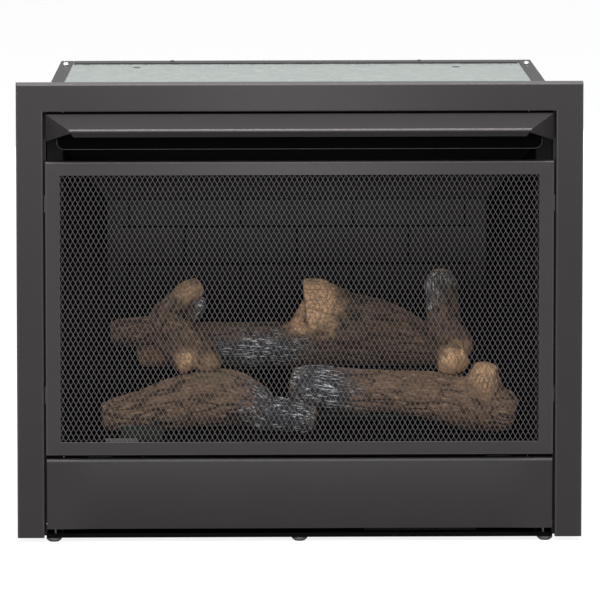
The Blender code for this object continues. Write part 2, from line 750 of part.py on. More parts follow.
def front_surround():
    """The black trim: two legs and a top rail, folded back at every long edge."""
    half = SURROUND_WIDTH / 2
    inner = OPENING_WIDTH / 2
    rail_bottom = OPENING_TOP
    frame = block("front_surround", (-half, half), (0, SURROUND_DEPTH),
                  (SURROUND_BOTTOM, SURROUND_TOP))
    rounded(frame, BEND_RADIUS)
    below = SURROUND_BOTTOM - OVERRUN
    cut(frame, block("surround_opening", (-inner, inner), (-OVERRUN, SURROUND_DEPTH + OVERRUN),
                     (below, rail_bottom)))
    outer_x = half - SHEET
    inner_x = inner + SHEET
    top = SURROUND_TOP - SHEET
    low_top = rail_bottom + SHEET
    channel = ((-outer_x, below), (-outer_x, top), (outer_x, top), (outer_x, below),
               (inner_x, below), (inner_x, low_top), (-inner_x, low_top), (-inner_x, below))
    cut(frame, plate("surround_channel", "front", channel,
                     (at_depth(SHEET), at_depth(SURROUND_DEPTH + OVERRUN))))
    keep(frame, powder_coat())


def front_post(side_name, side):
    """The upright behind the edge of the screen, an angle of sheet."""
    inner = POST_INNER_SPACING / 2
    front = POST_FRONT_DEPTH
    outer = inside_half_width(front + POST_RETURN) + SEAT_GAP
    outline = (
        (side * inner, at_depth(front)), (side * outer, at_depth(front)),
        (side * outer, at_depth(front + SHEET)), (side * (inner + SHEET), at_depth(front + SHEET)),
        (side * (inner + SHEET), at_depth(front + POST_RETURN)),
        (side * inner, at_depth(front + POST_RETURN)))
    bottom = CASING_BOTTOM + SHEET + SEAT_GAP
    top = HOOD_TOP - SHEET - SEAT_GAP
    post = plate("front_post_" + side_name, "plan", outline, (bottom, top))
    notch_top = DOOR_AXIS_HEIGHT + HINGE_EYE_DIAMETER / 2 + BEND_RADIUS
    across = sorted((side * (inner + 2 * SHEET), side * (outer + OVERRUN)))
    cut(post, block("post_notch", across, (front - OVERRUN, front + SHEET + SEAT_GAP / 2),
                    (bottom - OVERRUN, notch_top)))
    keep(post, stove_paint())


# Hood
def hood():
    """A hipped canopy: a sloping top, two upright ends and a lip along the front edge."""
    back_half = HOOD_BACK_WIDTH / 2
    front_half = HOOD_FRONT_WIDTH / 2
    back = POST_FRONT_DEPTH - SEAT_GAP
    corners = []
    for side in (-1, 1):
        for depth in (0, back):
            for height in (HOOD_SIDE_BOTTOM, HOOD_TOP):
                corners.append((side * back_half, at_depth(depth), height))
        for drop in (0, 2 * SHEET):
            corners.append((side * front_half, at_depth(-HOOD_REACH), HOOD_FRONT_TOP - drop))
    canopy = hull("hood", corners)
    slope = (HOOD_TOP - HOOD_FRONT_TOP) / HOOD_REACH
    splay = (back_half - front_half) / HOOD_REACH
    end_wall = SHEET * math.hypot(1, splay)
    past = HOOD_REACH + OVERRUN
    inside = []
    for side in (-1, 1):
        for depth, forward in ((back + OVERRUN, 0), (0, 0), (-past, past)):
            across = side * (back_half - end_wall - splay * forward)
            for height in (HOOD_SIDE_BOTTOM - HOOD_REACH, HOOD_TOP - SHEET - slope * forward):
                inside.append((across, at_depth(depth), height))
    cut(canopy, hull("hood_inside", inside))
    lip_half = HOOD_LIP_LOW_WIDTH / 2
    lip_top = HOOD_FRONT_TOP - SHEET / 2
    lip = []
    for side in (-1, 1):
        for depth in (SEAT_GAP - HOOD_REACH, SEAT_GAP + SHEET - HOOD_REACH):
            lip.append((side * (front_half - SHEET / 4), at_depth(depth), lip_top))
            lip.append((side * lip_half, at_depth(depth), HOOD_LIP_BOTTOM))
    join(canopy, hull("hood_lip", lip))
    keep(canopy, powder_coat())


def hood_baffle():
    """The deflector under the hood, a shallow tray with rounded lower corners."""
    def outline(half, low, corner, top):
        return (*arc((half - corner, low + corner), corner, 0, -90, 4),
                *arc((-half + corner, low + corner), corner, -90, -180, 4),
                (-half, top), (half, top))
    back = POST_FRONT_DEPTH - SEAT_GAP
    half = BAFFLE_WIDTH / 2
    baffle = plate("hood_baffle", "front", outline(half, BAFFLE_BOTTOM, BAFFLE_CORNER, BAFFLE_TOP),
                   (at_depth(BAFFLE_DEPTH), at_depth(back)))
    cut(baffle, plate(
        "hood_baffle_inside", "front",
        outline(half - SHEET, BAFFLE_BOTTOM + SHEET, BAFFLE_CORNER - SHEET, BAFFLE_TOP + OVERRUN),
        (at_depth(BAFFLE_DEPTH + SHEET), at_depth(back + OVERRUN))))
    keep(baffle, stove_paint())


# Firebox lining
def wall_half_width(depth):
    """Half the firebox's width at a depth, to the outer face of its splayed side walls."""
    front = POST_FRONT_DEPTH
    front_half = POST_INNER_SPACING / 2 - SEAT_GAP
    share = (depth - front) / (REAR_WALL_DEPTH - front)
    return front_half + (REAR_WALL_WIDTH / 2 - front_half) * share


def roof_underside(depth):
    """Height of the firebox roof's underside at a depth."""
    return REAR_WALL_TOP + ROOF_SLOPE * (REAR_WALL_DEPTH - depth)


def firebox_floor():
    """The floor sheet, which also covers the control bay and carries the screen on its lip."""
    row = at_depth(pilot_row_depth())
    holes = [ring((BURNER_INLET_X, at_depth(BURNER_DEPTH)), FLOOR_HOLE_DIAMETER / 2)]
    for step in (-1, 0, 1):
        holes.append(ring((PILOT_X + step * PILOT_SPACING, row), PILOT_BODY_DIAMETER / 2))
    back = CASING_DEPTH - SHEET - SEAT_GAP
    clear_post = POST_INNER_SPACING / 2 - SEAT_GAP
    post_end = POST_FRONT_DEPTH + POST_RETURN + SEAT_GAP
    lip_back = POST_FRONT_DEPTH - SEAT_GAP
    right = (
        (inside_half_width(0), at_depth(FLOOR_LIP_DEPTH)),
        (inside_half_width(0), at_depth(lip_back)),
        (clear_post, at_depth(lip_back)), (clear_post, at_depth(post_end)),
        (inside_half_width(post_end), at_depth(post_end)),
        (inside_half_width(back), at_depth(back)))
    left = [(-across, y) for across, y in reversed(right)]
    floor = plate("firebox_floor", "plan", (*right, *left), (FLOOR_TOP - SHEET, FLOOR_TOP), holes)
    keep(floor, stove_paint())


def firebox_rear_wall():
    """The rear wall, with two shallow pressed ribs across it."""
    half = REAR_WALL_WIDTH / 2
    bottom = FLOOR_TOP + SEAT_GAP
    top = roof_underside(REAR_WALL_DEPTH + SHEET) - SEAT_GAP
    wall = block("firebox_rear_wall", (-half, half), (REAR_WALL_DEPTH, REAR_WALL_DEPTH + SHEET),
                 (bottom, top))
    for share in RIB_HEIGHT_SHARES:
        height = FLOOR_TOP + REAR_WALL_HEIGHT * share
        rib_half = half - NET_BORDER
        join(wall, block(
            "rear_wall_rib", (-rib_half, rib_half),
            (REAR_WALL_DEPTH - RIB_PROUD, REAR_WALL_DEPTH + SHEET / 2),
            (height - RIB_WIDTH / 2, height + RIB_WIDTH / 2)))
    keep(wall, stove_paint())


def firebox_side_wall(side_name, side):
    """A splayed side wall whose top follows the sloping roof."""
    bottom = FLOOR_TOP + SEAT_GAP
    corners = []
    back = REAR_WALL_DEPTH - RIB_PROUD - SEAT_GAP
    for depth in (POST_FRONT_DEPTH + SHEET, back):
        for inset in (0, SHEET):
            across = side * (wall_half_width(depth) - inset)
            for height in (bottom, roof_underside(depth) - SEAT_GAP):
                corners.append((across, at_depth(depth), height))
    keep(hull("firebox_side_wall_" + side_name, corners), stove_paint())


def firebox_roof():
    """The sloping roof of the firebox, from the rear wall up to the baffle."""
    corners = []
    for depth in (POST_FRONT_DEPTH + SEAT_GAP, REAR_WALL_DEPTH + SHEET):
        for rise in (0, SHEET):
            for side in (-1, 1):
                corners.append((side * wall_half_width(depth), at_depth(depth),
                                roof_underside(depth) + rise))
    keep(hull("firebox_roof", corners), stove_paint())


# Screen
def screen_parts():
    """The pull-off screen: a folded frame, the expanded metal in it and its four clips."""
    half = SCREEN_WIDTH / 2
    bottom = SCREEN_BOTTOM
    top = SCREEN_BOTTOM + SCREEN_HEIGHT
    front = SCREEN_FACE_DEPTH
    back = front + SCREEN_THICKNESS
    runner = axis_empty("screen_runner", (0, at_depth(front), bottom))
    frame = block("screen_frame", (-half, half), (front, back), (bottom, top))
    rounded(frame, BEND_RADIUS)
    cut(frame, block("screen_recess", (-half + SHEET, half - SHEET), (front + SHEET, back + OVERRUN),
                     (bottom + SHEET, top - SHEET)))
    window_half = half - SCREEN_SIDE_BAR
    low = bottom + SCREEN_BOTTOM_BAR
    high = top - SCREEN_TOP_BAR
    cut(frame, block("screen_window", (-window_half, window_half), (front - OVERRUN, back + OVERRUN),
                     (low, high)))
    carry(runner, keep(frame, powder_coat()))
    carry(runner, keep(screen_mesh(window_half, low, high), powder_coat()))
    for level, height in (("lower", bottom + CLIP_FROM_BOTTOM), ("upper", top - CLIP_FROM_TOP)):
        for side_name, side in (("left", -1), ("right", 1)):
            name = "screen_clip_" + side_name + "_" + level
            carry(runner, keep(screen_clip(name, side, height), bare_steel()))


def screen_mesh(window_half, low, high):
    """A flat net of tall diamonds, whole ones inside and halves along each edge."""
    near = SCREEN_FACE_DEPTH + SHEET + SEAT_GAP
    pitch = 2 * window_half / NET_COLUMNS
    rise = (high - low) / NET_ROWS
    shrink_x = NET_STRAND / 2 * math.hypot(1, pitch / rise)
    shrink_z = shrink_x * rise / pitch
    reach_x = pitch / 2 - shrink_x
    reach_z = rise / 2 - shrink_z
    holes = []
    for column in range(2 * NET_COLUMNS + 1):
        for row in range(2 * NET_ROWS + 1):
            if (column + row) % 2 == 0:
                continue
            centre_x = -window_half + column * pitch / 2
            centre_z = low + row * rise / 2
            hole = [(centre_x + reach_x, centre_z), (centre_x, centre_z + reach_z),
                    (centre_x - reach_x, centre_z), (centre_x, centre_z - reach_z)]
            inside = [point for point in hole
                      if abs(point[0]) <= window_half + SEAT_GAP
                      and low - SEAT_GAP <= point[1] <= high + SEAT_GAP]
            holes.append(inside)
    side = window_half + NET_BORDER
    outline = ((-side, low - NET_BORDER), (side, low - NET_BORDER),
               (side, high + NET_BORDER), (-side, high + NET_BORDER))
    return plate("screen_mesh", "front", outline, (at_depth(near), at_depth(near + NET_THICKNESS)),
                 holes)


def screen_clip(name, side, height):
    """A bowed strip of spring steel on the frame's side flange."""
    inner = SCREEN_WIDTH / 2 + SEAT_GAP
    front = SCREEN_FACE_DEPTH + SHEET
    back = SCREEN_FACE_DEPTH + SCREEN_THICKNESS
    middle = (front + back) / 2
    outer = inner + CLIP_THICKNESS
    outline = ((side * inner, at_depth(front)), (side * outer, at_depth(front)),
               (side * (inner + CLIP_BOW), at_depth(middle)), (side * outer, at_depth(back)),
               (side * inner, at_depth(back)))
    return plate(name, "plan", outline, (height - CLIP_LENGTH / 2, height + CLIP_LENGTH / 2))


# Lower door
def door_profile(inset):
    """The door's section from its bottom edge up to a rounded top bend and back."""
    front = DOOR_FACE_DEPTH + inset
    top = DOOR_BOTTOM + DOOR_HEIGHT - inset
    radius = DOOR_BEND - inset
    back = DOOR_FACE_DEPTH + DOOR_THICKNESS + (OVERRUN if inset else 0)
    low = DOOR_BOTTOM - (OVERRUN if inset else 0)
    bend = arc((at_depth(front + radius), top - radius), radius, 180, 90, 4)
    return ((at_depth(back), low), (at_depth(front), low), *bend, (at_depth(back), top))


def lower_door():
    """The control door with its two pins, carried by the hinge axis at its foot."""
    half = DOOR_WIDTH / 2
    axis = (0, at_depth(DOOR_AXIS_DEPTH), DOOR_AXIS_HEIGHT)
    hinge = axis_empty("lower_door_axis", axis)
    door = plate("lower_door", "side", door_profile(0), (-half, half))
    cut(door, plate("lower_door_inside", "side", door_profile(SHEET), (SHEET - half, half - SHEET)))
    hole_radius = HINGE_PIN_DIAMETER / 2 + SEAT_GAP
    cut(door, rod("door_pin_holes", (-half - OVERRUN, axis[1], axis[2]),
                  (half + OVERRUN, axis[1], axis[2]), hole_radius, SMALL_ROUND_SIDES))
    carry(hinge, keep(door, powder_coat()))
    for side_name, side in (("left", -1), ("right", 1)):
        outer = half + HINGE_RUNNING_GAP
        pin = rod("hinge_pin_" + side_name,
                  (side * (outer - HINGE_PIN_LENGTH), axis[1], axis[2]),
                  (side * outer, axis[1], axis[2]), HINGE_PIN_DIAMETER / 2, SMALL_ROUND_SIDES)
        carry(hinge, keep(pin, bare_steel()))


def hinge_bracket(side_name, side):
    """A goose-neck plate on the base pan that holds the door's pin in its eye."""
    axis = (at_depth(DOOR_AXIS_DEPTH), DOOR_AXIS_HEIGHT)
    eye = HINGE_EYE_DIAMETER / 2
    bottom = CASING_BOTTOM + SHEET + SEAT_GAP
    leg_front = at_depth(POST_FRONT_DEPTH + SHEET + SEAT_GAP)
    leg_back = leg_front + HINGE_FOOT_DEPTH
    outline = (*arc(axis, eye, 90, 270, 8), (leg_front, axis[1] - eye), (leg_front, bottom),
               (leg_back, bottom), (leg_back, axis[1] + eye))
    hole = ring(axis, HINGE_PIN_DIAMETER / 2 + HINGE_RUNNING_GAP)
    middle = side * HINGE_SPACING / 2
    span = (middle - HINGE_PLATE / 2, middle + HINGE_PLATE / 2)
    keep(plate("hinge_bracket_" + side_name, "side", outline, span, (hole,)), bare_steel())


def door_catch(side_name, side):
    """A magnet on a hanger under the firebox floor, just behind the door's face."""
    middle = side * CATCH_SPACING / 2
    across = (middle - CATCH_WIDTH / 2, middle + CATCH_WIDTH / 2)
    front = DOOR_FACE_DEPTH + SHEET + SEAT_GAP
    top = FLOOR_TOP - SHEET - SEAT_GAP
    magnet_top = top - CATCH_BELOW_FLOOR
    back = front + CATCH_LENGTH
    outline = ((at_depth(front), magnet_top - CATCH_HEIGHT), (at_depth(back), magnet_top - CATCH_HEIGHT),
               (at_depth(back), top), (at_depth(back - CATCH_TAB), top),
               (at_depth(back - CATCH_TAB), magnet_top), (at_depth(front), magnet_top))
    keep(plate("door_catch_" + side_name, "side", outline, across), black_plastic())


# Burner and log supports
def burner_tube():
    """The round burner on two feet, with its inlet pipe down through the floor."""
    half = BURNER_LENGTH / 2
    y = at_depth(BURNER_DEPTH)
    tube = rod("burner_tube", (-half, y, BURNER_HEIGHT), (half, y, BURNER_HEIGHT),
               BURNER_DIAMETER / 2)
    for side in (-1, 1):
        middle = side * BURNER_FOOT_SPACING / 2
        join(tube, block(
            "burner_foot", (middle - BURNER_FOOT_WIDTH / 2, middle + BURNER_FOOT_WIDTH / 2),
            (BURNER_DEPTH - SHEET, BURNER_DEPTH + SHEET), (FLOOR_TOP + SEAT_GAP, BURNER_HEIGHT)))
    join(tube, rod("burner_inlet", (BURNER_INLET_X, y, BURNER_INLET_BOTTOM),
                   (BURNER_INLET_X, y, BURNER_HEIGHT), BURNER_INLET_DIAMETER / 2))
    keep(tube, bare_steel())


def front_log_grate():
    """The low channel that carries the front logs, with a row of air slots in its front."""
    half = GRATE_WIDTH / 2
    front = GRATE_DEPTH
    back = GRATE_DEPTH + GRATE_LENGTH
    bottom = FLOOR_TOP + SEAT_GAP
    grate = block("front_log_grate", (-half, half), (front, back), (bottom, GRATE_TOP))
    cut(grate, block("grate_inside", (-half - OVERRUN, half + OVERRUN),
                     (front + SHEET, back - SHEET), (bottom - OVERRUN, GRATE_TOP - SHEET)))
    pitch = GRATE_WIDTH / GRATE_SLOTS
    middle_z = (bottom + GRATE_TOP) / 2
    for slot in range(GRATE_SLOTS):
        middle = -half + (slot + 0.5) * pitch
        cut(grate, block(
            "grate_slot", (middle - GRATE_SLOT_WIDTH / 2, middle + GRATE_SLOT_WIDTH / 2),
            (front - OVERRUN, front + OVERRUN),
            (middle_z - GRATE_SLOT_HEIGHT / 2, middle_z + GRATE_SLOT_HEIGHT / 2)))
    keep(grate, stove_paint())


def rear_log_rest():
    """The shelf on two legs that carries the rear log."""
    half = REST_WIDTH / 2
    front = REST_DEPTH
    back = REST_DEPTH + REST_LENGTH
    inner = REST_LEG_SPACING / 2 - REST_LEG_WIDTH / 2
    outer = REST_LEG_SPACING / 2 + REST_LEG_WIDTH / 2
    bottom = FLOOR_TOP + SEAT_GAP
    under = REST_TOP - SHEET
    rest = block("rear_log_rest", (-half, half), (front, back), (bottom, REST_TOP))
    below = bottom - OVERRUN
    cut(rest, block("rest_arch", (-inner, inner), (front - OVERRUN, back + OVERRUN), (below, under)))
    for side in (-1, 1):
        across = sorted((side * outer, side * (half + OVERRUN)))
        cut(rest, block("rest_end", across, (front - OVERRUN, back + OVERRUN), (below, under)))
    cut(rest, block("rest_hollow", (-outer - OVERRUN, outer + OVERRUN),
                    (front + SHEET, back + OVERRUN), (below, under)))
    keep(rest, stove_paint())


# Pilot
def pilot_row_depth():
    """Depth of the row of pilot, electrode and thermocouple."""
    return PILOT_DEPTH + SHEET + PILOT_SHELF_LENGTH / 2


def pilot_parts():
    """The pilot bracket with its burner in the middle, the electrode left, the probe right."""
    half = PILOT_WIDTH / 2
    front = PILOT_DEPTH
    back = front + SHEET + PILOT_SHELF_LENGTH
    bottom = FLOOR_TOP + SEAT_GAP
    row = at_depth(pilot_row_depth())
    across = (PILOT_X - half, PILOT_X + half)
    bracket = block("pilot_bracket", across, (front, back), (bottom, PILOT_TOP))
    past = (across[0] - OVERRUN, across[1] + OVERRUN)
    cut(bracket, block("bracket_over", past, (front + SHEET, back + OVERRUN),
                       (PILOT_SHELF_TOP, PILOT_TOP + OVERRUN)))
    cut(bracket, block("bracket_under", past, (front + SHEET, back + OVERRUN),
                       (bottom - OVERRUN, PILOT_SHELF_TOP - SHEET)))
    pieces = (
        ("spark_electrode", -1, ELECTRODE_DIAMETER, ELECTRODE_HEIGHT, ceramic()),
        ("pilot_burner", 0, PILOT_BODY_DIAMETER, PILOT_HEAD_HEIGHT, brass()),
        ("thermocouple", 1, PROBE_DIAMETER, PROBE_HEIGHT, bare_steel()))
    for name, step, diameter, height, colour in pieces:
        middle = PILOT_X + step * PILOT_SPACING
        cut(bracket, rod(name + "_hole", (middle, row, PILOT_SHELF_TOP - OVERRUN),
                         (middle, row, PILOT_SHELF_TOP + OVERRUN), diameter / 2 + SEAT_GAP,
                         SMALL_ROUND_SIDES))
        low = PILOT_SHELF_TOP - PILOT_BODY_DIAMETER
        high = PILOT_SHELF_TOP + height
        radius = diameter / 2
        profile = ((0, high), (radius / 2, high), (radius, high - radius), (radius, low), (0, low))
        tip = turned(name, profile, (middle, row, 0), SMALL_ROUND_SIDES)
        if name == "thermocouple":
            join(tip, pilot_line("thermocouple_lead"))
        keep(tip, colour)
    keep(bracket, bare_steel())


# Controls
def control_panel():
    """The upright plate that carries the valve and the igniter, on a foot turned back."""
    across = (PANEL_LEFT, PANEL_RIGHT)
    bottom = CASING_BOTTOM + SHEET + SEAT_GAP
    back = PANEL_DEPTH + PANEL_FOOT
    panel = block("control_panel", across, (PANEL_DEPTH, back), (bottom, PANEL_TOP))
    cut(panel, block("control_panel_inside", (PANEL_LEFT - OVERRUN, PANEL_RIGHT + OVERRUN),
                     (PANEL_DEPTH + SHEET, back + OVERRUN), (bottom + SHEET, PANEL_TOP + OVERRUN)))
    for name, middle, diameter in (("stem_hole", KNOB_X, STEM_DIAMETER),
                                   ("igniter_hole", IGNITER_X, IGNITER_DIAMETER)):
        cut(panel, rod(name, (middle, at_depth(PANEL_DEPTH - OVERRUN), CONTROL_HEIGHT),
                       (middle, at_depth(PANEL_DEPTH + OVERRUN), CONTROL_HEIGHT),
                       diameter / 2 + SEAT_GAP))
    keep(panel, bare_steel())


def gas_valve():
    """The valve body, bored for the stem."""
    half = VALVE_WIDTH / 2
    front = PANEL_DEPTH + SHEET + SEAT_GAP
    heights = (CONTROL_HEIGHT - VALVE_HEIGHT / 2, CONTROL_HEIGHT + VALVE_HEIGHT / 2)
    valve = block("gas_valve", (KNOB_X - half, KNOB_X + half), (front, VALVE_END_DEPTH), heights)
    rounded(valve, BEND_RADIUS, 1)
    bore_end = STEM_END_DEPTH + KNOB_TRAVEL + SEAT_GAP
    cut(valve, rod("valve_bore", (KNOB_X, at_depth(front - OVERRUN), CONTROL_HEIGHT),
                   (KNOB_X, at_depth(bore_end), CONTROL_HEIGHT), STEM_DIAMETER / 2 + SEAT_GAP))
    keep(valve, cast_aluminium())


def control_knob_parts():
    """The stem that pushes in and the knob that turns on it."""
    front = KNOB_FRONT_DEPTH
    back = front + KNOB_LENGTH
    stem_front = front + KNOB_WALL + SEAT_GAP
    pusher = axis_empty("control_stem_axis", (KNOB_X, at_depth(stem_front), CONTROL_HEIGHT))
    stem = rod("control_stem", (KNOB_X, at_depth(stem_front), CONTROL_HEIGHT),
               (KNOB_X, at_depth(STEM_END_DEPTH), CONTROL_HEIGHT), STEM_DIAMETER / 2)
    carry(pusher, keep(stem, bare_steel()))
    turner = axis_empty("control_knob_axis", (KNOB_X, at_depth(back), CONTROL_HEIGHT))
    carry(pusher, turner)
    knob = rod("control_knob", (KNOB_X, at_depth(back), CONTROL_HEIGHT),
               (KNOB_X, at_depth(front + KNOB_GRIP_PROUD), CONTROL_HEIGHT), KNOB_TOP_DIAMETER / 2 +
               KNOB_GRIP_PROUD, ROUND_SIDES, KNOB_TOP_DIAMETER / 2)
    join(knob, rod("knob_skirt", (KNOB_X, at_depth(back + SEAT_GAP), CONTROL_HEIGHT),
                   (KNOB_X, at_depth(back - KNOB_SKIRT), CONTROL_HEIGHT), KNOB_DIAMETER / 2))
    grip_half = KNOB_GRIP_WIDTH / 2
    grip_reach = KNOB_TOP_DIAMETER / 2
    join(knob, block("knob_grip", (KNOB_X - grip_half, KNOB_X + grip_half),
                     (front, front + KNOB_GRIP_PROUD + OVERRUN),
                     (CONTROL_HEIGHT - grip_reach, CONTROL_HEIGHT + grip_reach)))
    cut(knob, rod("knob_bore", (KNOB_X, at_depth(front + KNOB_WALL), CONTROL_HEIGHT),
                  (KNOB_X, at_depth(back + OVERRUN), CONTROL_HEIGHT), STEM_DIAMETER / 2 + SEAT_GAP))
    carry(turner, keep(knob, black_plastic()))


def igniter_parts():
    """The piezo igniter in the panel and the button that pushes into it."""
    height = CONTROL_HEIGHT
    flange_back = PANEL_DEPTH - SEAT_GAP
    flange_front = flange_back - IGNITER_FLANGE
    body = rod("igniter_body", (IGNITER_X, at_depth(flange_front), height),
               (IGNITER_X, at_depth(IGNITER_END_DEPTH), height), IGNITER_DIAMETER / 2)
    join(body, rod("igniter_flange", (IGNITER_X, at_depth(flange_front - SEAT_GAP), height),
                   (IGNITER_X, at_depth(flange_back), height), IGNITER_FLANGE_DIAMETER / 2))
    bore_end = BUTTON_END_DEPTH + BUTTON_TRAVEL + SEAT_GAP
    cut(body, rod("igniter_bore", (IGNITER_X, at_depth(flange_front - OVERRUN), height),
                  (IGNITER_X, at_depth(bore_end), height), BUTTON_DIAMETER / 2 + SEAT_GAP))
    keep(body, black_plastic())
    slider = axis_empty("igniter_button_axis", (IGNITER_X, at_depth(BUTTON_FRONT_DEPTH), height))
    button = rod("igniter_button", (IGNITER_X, at_depth(BUTTON_FRONT_DEPTH + SEAT_GAP), height),
                 (IGNITER_X, at_depth(BUTTON_END_DEPTH), height), BUTTON_DIAMETER / 2)
    join(button, rod("button_cap", (IGNITER_X, at_depth(BUTTON_FRONT_DEPTH), height),
                     (IGNITER_X, at_depth(BUTTON_FRONT_DEPTH + BUTTON_CAP), height),
                     BUTTON_CAP_DIAMETER / 2))
    carry(slider, keep(button, red_plastic()))


def gas_train():
    """Regulator, inlet, supply pipe, injector and the pipes and leads to burner and pilot."""
    y = at_depth(REGULATOR_DEPTH)
    z = CONTROL_HEIGHT
    radius = REGULATOR_DIAMETER / 2
    dome = REGULATOR_HEIGHT / 2
    profile = ((0, dome), (radius / 2, dome), (radius, dome / 2), (radius, -dome / 2),
               (radius / 2, -dome), (0, -dome))
    regulator = turned("gas_regulator", profile, (KNOB_X, y, z))
    leg_half = CATCH_TAB / 2
    join(regulator, block("regulator_leg", (KNOB_X - leg_half, KNOB_X + leg_half),
                          (REGULATOR_DEPTH - leg_half, REGULATOR_DEPTH + leg_half),
                          (CASING_BOTTOM + SHEET + SEAT_GAP, z)))
    keep(regulator, cast_aluminium())
    inlet_start = KNOB_X + radius + SEAT_GAP
    inlet_end = casing_half_width(REGULATOR_DEPTH) - INLET_FROM_SIDE
    inlet = rod("gas_inlet", (inlet_start, y, z), (inlet_end, y, z), INLET_PIPE_DIAMETER / 2)
    join(inlet, rod("gas_inlet_nut", (inlet_end - INLET_FITTING_LENGTH, y, z),
                    (inlet_end + SEAT_GAP, y, z), INLET_FITTING_DIAMETER / 2, 6))
    keep(inlet, brass())
    keep(rod("valve_supply_pipe", (KNOB_X, at_depth(VALVE_END_DEPTH + SEAT_GAP), z),
             (KNOB_X, at_depth(REGULATOR_DEPTH) - radius - SEAT_GAP, z),
             SUPPLY_PIPE_DIAMETER / 2, SMALL_ROUND_SIDES), bare_steel())
    injector_top = BURNER_INLET_BOTTOM - SEAT_GAP
    burner_y = at_depth(BURNER_DEPTH)
    keep(rod("burner_injector", (BURNER_INLET_X, burner_y, injector_top - INJECTOR_LENGTH),
             (BURNER_INLET_X, burner_y, injector_top), INJECTOR_DIAMETER / 2, 6), brass())
    valve_left = KNOB_X - VALVE_WIDTH / 2 - SEAT_GAP
    port_y = at_depth(VALVE_PORT_DEPTH)
    low = CONTROL_HEIGHT - VALVE_PORT_DROP
    burner_route = bent_path((
        (valve_left, port_y, low), (BURNER_INLET_X, port_y, low), (BURNER_INLET_X, burner_y, low),
        (BURNER_INLET_X, burner_y, injector_top - INJECTOR_LENGTH - SEAT_GAP)),
        PIPE_BEND_RADIUS)
    keep(wire("burner_pipe", burner_route, BURNER_PIPE_DIAMETER / 2, 2), bare_steel())


def pilot_line(name):
    """The pilot pipe or one of the two leads, from the controls across to the pilot."""
    row = at_depth(pilot_row_depth())
    under = PILOT_SHELF_TOP - PILOT_BODY_DIAMETER - SEAT_GAP
    inside = PILOT_SHELF_TOP - PILOT_BODY_DIAMETER / 2
    run = at_depth(PIPE_RUN_DEPTH)
    valve_top = CONTROL_HEIGHT + VALVE_HEIGHT / 2 + SEAT_GAP
    igniter_end = at_depth(IGNITER_END_DEPTH + SEAT_GAP)
    valve_y = at_depth((PANEL_DEPTH + VALVE_END_DEPTH) / 2)
    apart = PILOT_BODY_DIAMETER
    step, diameter, start, height, y, top = {
        "spark_lead": (-1, LEAD_DIAMETER, (IGNITER_X, igniter_end, CONTROL_HEIGHT),
                       PIPE_RUN_HEIGHT - apart, run + apart, under),
        "pilot_pipe": (0, PILOT_PIPE_DIAMETER, (KNOB_X - apart, valve_y + apart, valve_top),
                       PIPE_RUN_HEIGHT, run, under),
        "thermocouple_lead": (1, LEAD_DIAMETER, (KNOB_X + apart, valve_y, valve_top),
                              PIPE_RUN_HEIGHT + apart, run - apart, inside),
    }[name]
    across = PILOT_X + step * PILOT_SPACING
    if name == "spark_lead":
        first = ((start[0], y, start[2]), (start[0], y, height))
    else:
        first = ((start[0], start[1], height), (start[0], y, height))
    corners = (start, *first, (across, y, height), (across, row, height), (across, row, top))
    return wire(name, bent_path(corners, diameter * LEAD_BEND_SHARE), diameter / 2)


def pilot_lines():
    """The lines that are pieces of their own; the thermocouple's lead is part of its probe."""
    keep(pilot_line("spark_lead"), rubber())
    keep(pilot_line("pilot_pipe"), bare_steel())


# Logs
def log_points(shares):
    """Places and radii of a log's spine in metres."""
    rows = []
    for across, depth, height, radius in shares:
        place = Vector((across * BED_WIDTH / 2, at_depth(depth * BED_DEPTH),
                        GRATE_TOP + height * PILE_HEIGHT))
        rows.append((place, radius * LOG_RADIUS))
    return rows


def log_tube(name, shares, resolution=4, flatness=1.0):
    """Round sections of changing radius carried along a spine, with shallow bark lumps."""
    rows = log_points(shares)
    curve = bpy.data.curves.new(name, "CURVE")
    curve.dimensions = "3D"
    curve.bevel_depth = 1.0
    curve.bevel_resolution = resolution
    curve.use_fill_caps = True
    spline = curve.splines.new("POLY")
    spline.points.add(len(rows) - 1)
    for point, (place, radius) in zip(spline.points, rows):
        point.co = (*place, 1.0)
        point.radius = radius
    obj = curve_to_mesh(mesh_object(name, curve))
    wave = FULL_TURN / BARK_PITCH
    middle_y = sum(place.y for place, radius in rows) / len(rows)
    normals = [vertex.normal.copy() for vertex in obj.data.vertices]
    for vertex, normal in zip(obj.data.vertices, normals):
        x, y, z = vertex.co
        lump = math.sin(wave * x) * math.sin(wave * (y + z)) + math.sin(wave * (z - y) / 2 + x)
        vertex.co = vertex.co + normal * (lump * BARK_DEPTH / 2)
        vertex.co.y = middle_y + (vertex.co.y - middle_y) * flatness
    return obj


def clearance_copy(obj, name):
    """A slightly swollen copy of a finished log, to cut the seat of the log above it."""
    bpy.context.view_layer.update()
    graph = bpy.context.evaluated_depsgraph_get()
    data = bpy.data.meshes.new_from_object(obj.evaluated_get(graph))
    edit = bmesh.new()
    edit.from_mesh(data)
    edit.normal_update()
    offsets = [vertex.normal * LOG_GAP for vertex in edit.verts]
    for vertex, offset in zip(edit.verts, offsets):
        vertex.co = vertex.co + offset
    edit.to_mesh(data)
    edit.free()
    copy = mesh_object(name, data)
    copy.matrix_world = obj.matrix_world.copy()
    return copy


def flat_seat(obj, top):
    """Cut a log's underside flat, just above the steel that carries it."""
    half = BED_WIDTH
    return cut(obj, block(obj.name + "_seat", (-half, half), (-BED_DEPTH, CASING_DEPTH),
                          (0, top + SEAT_GAP)))


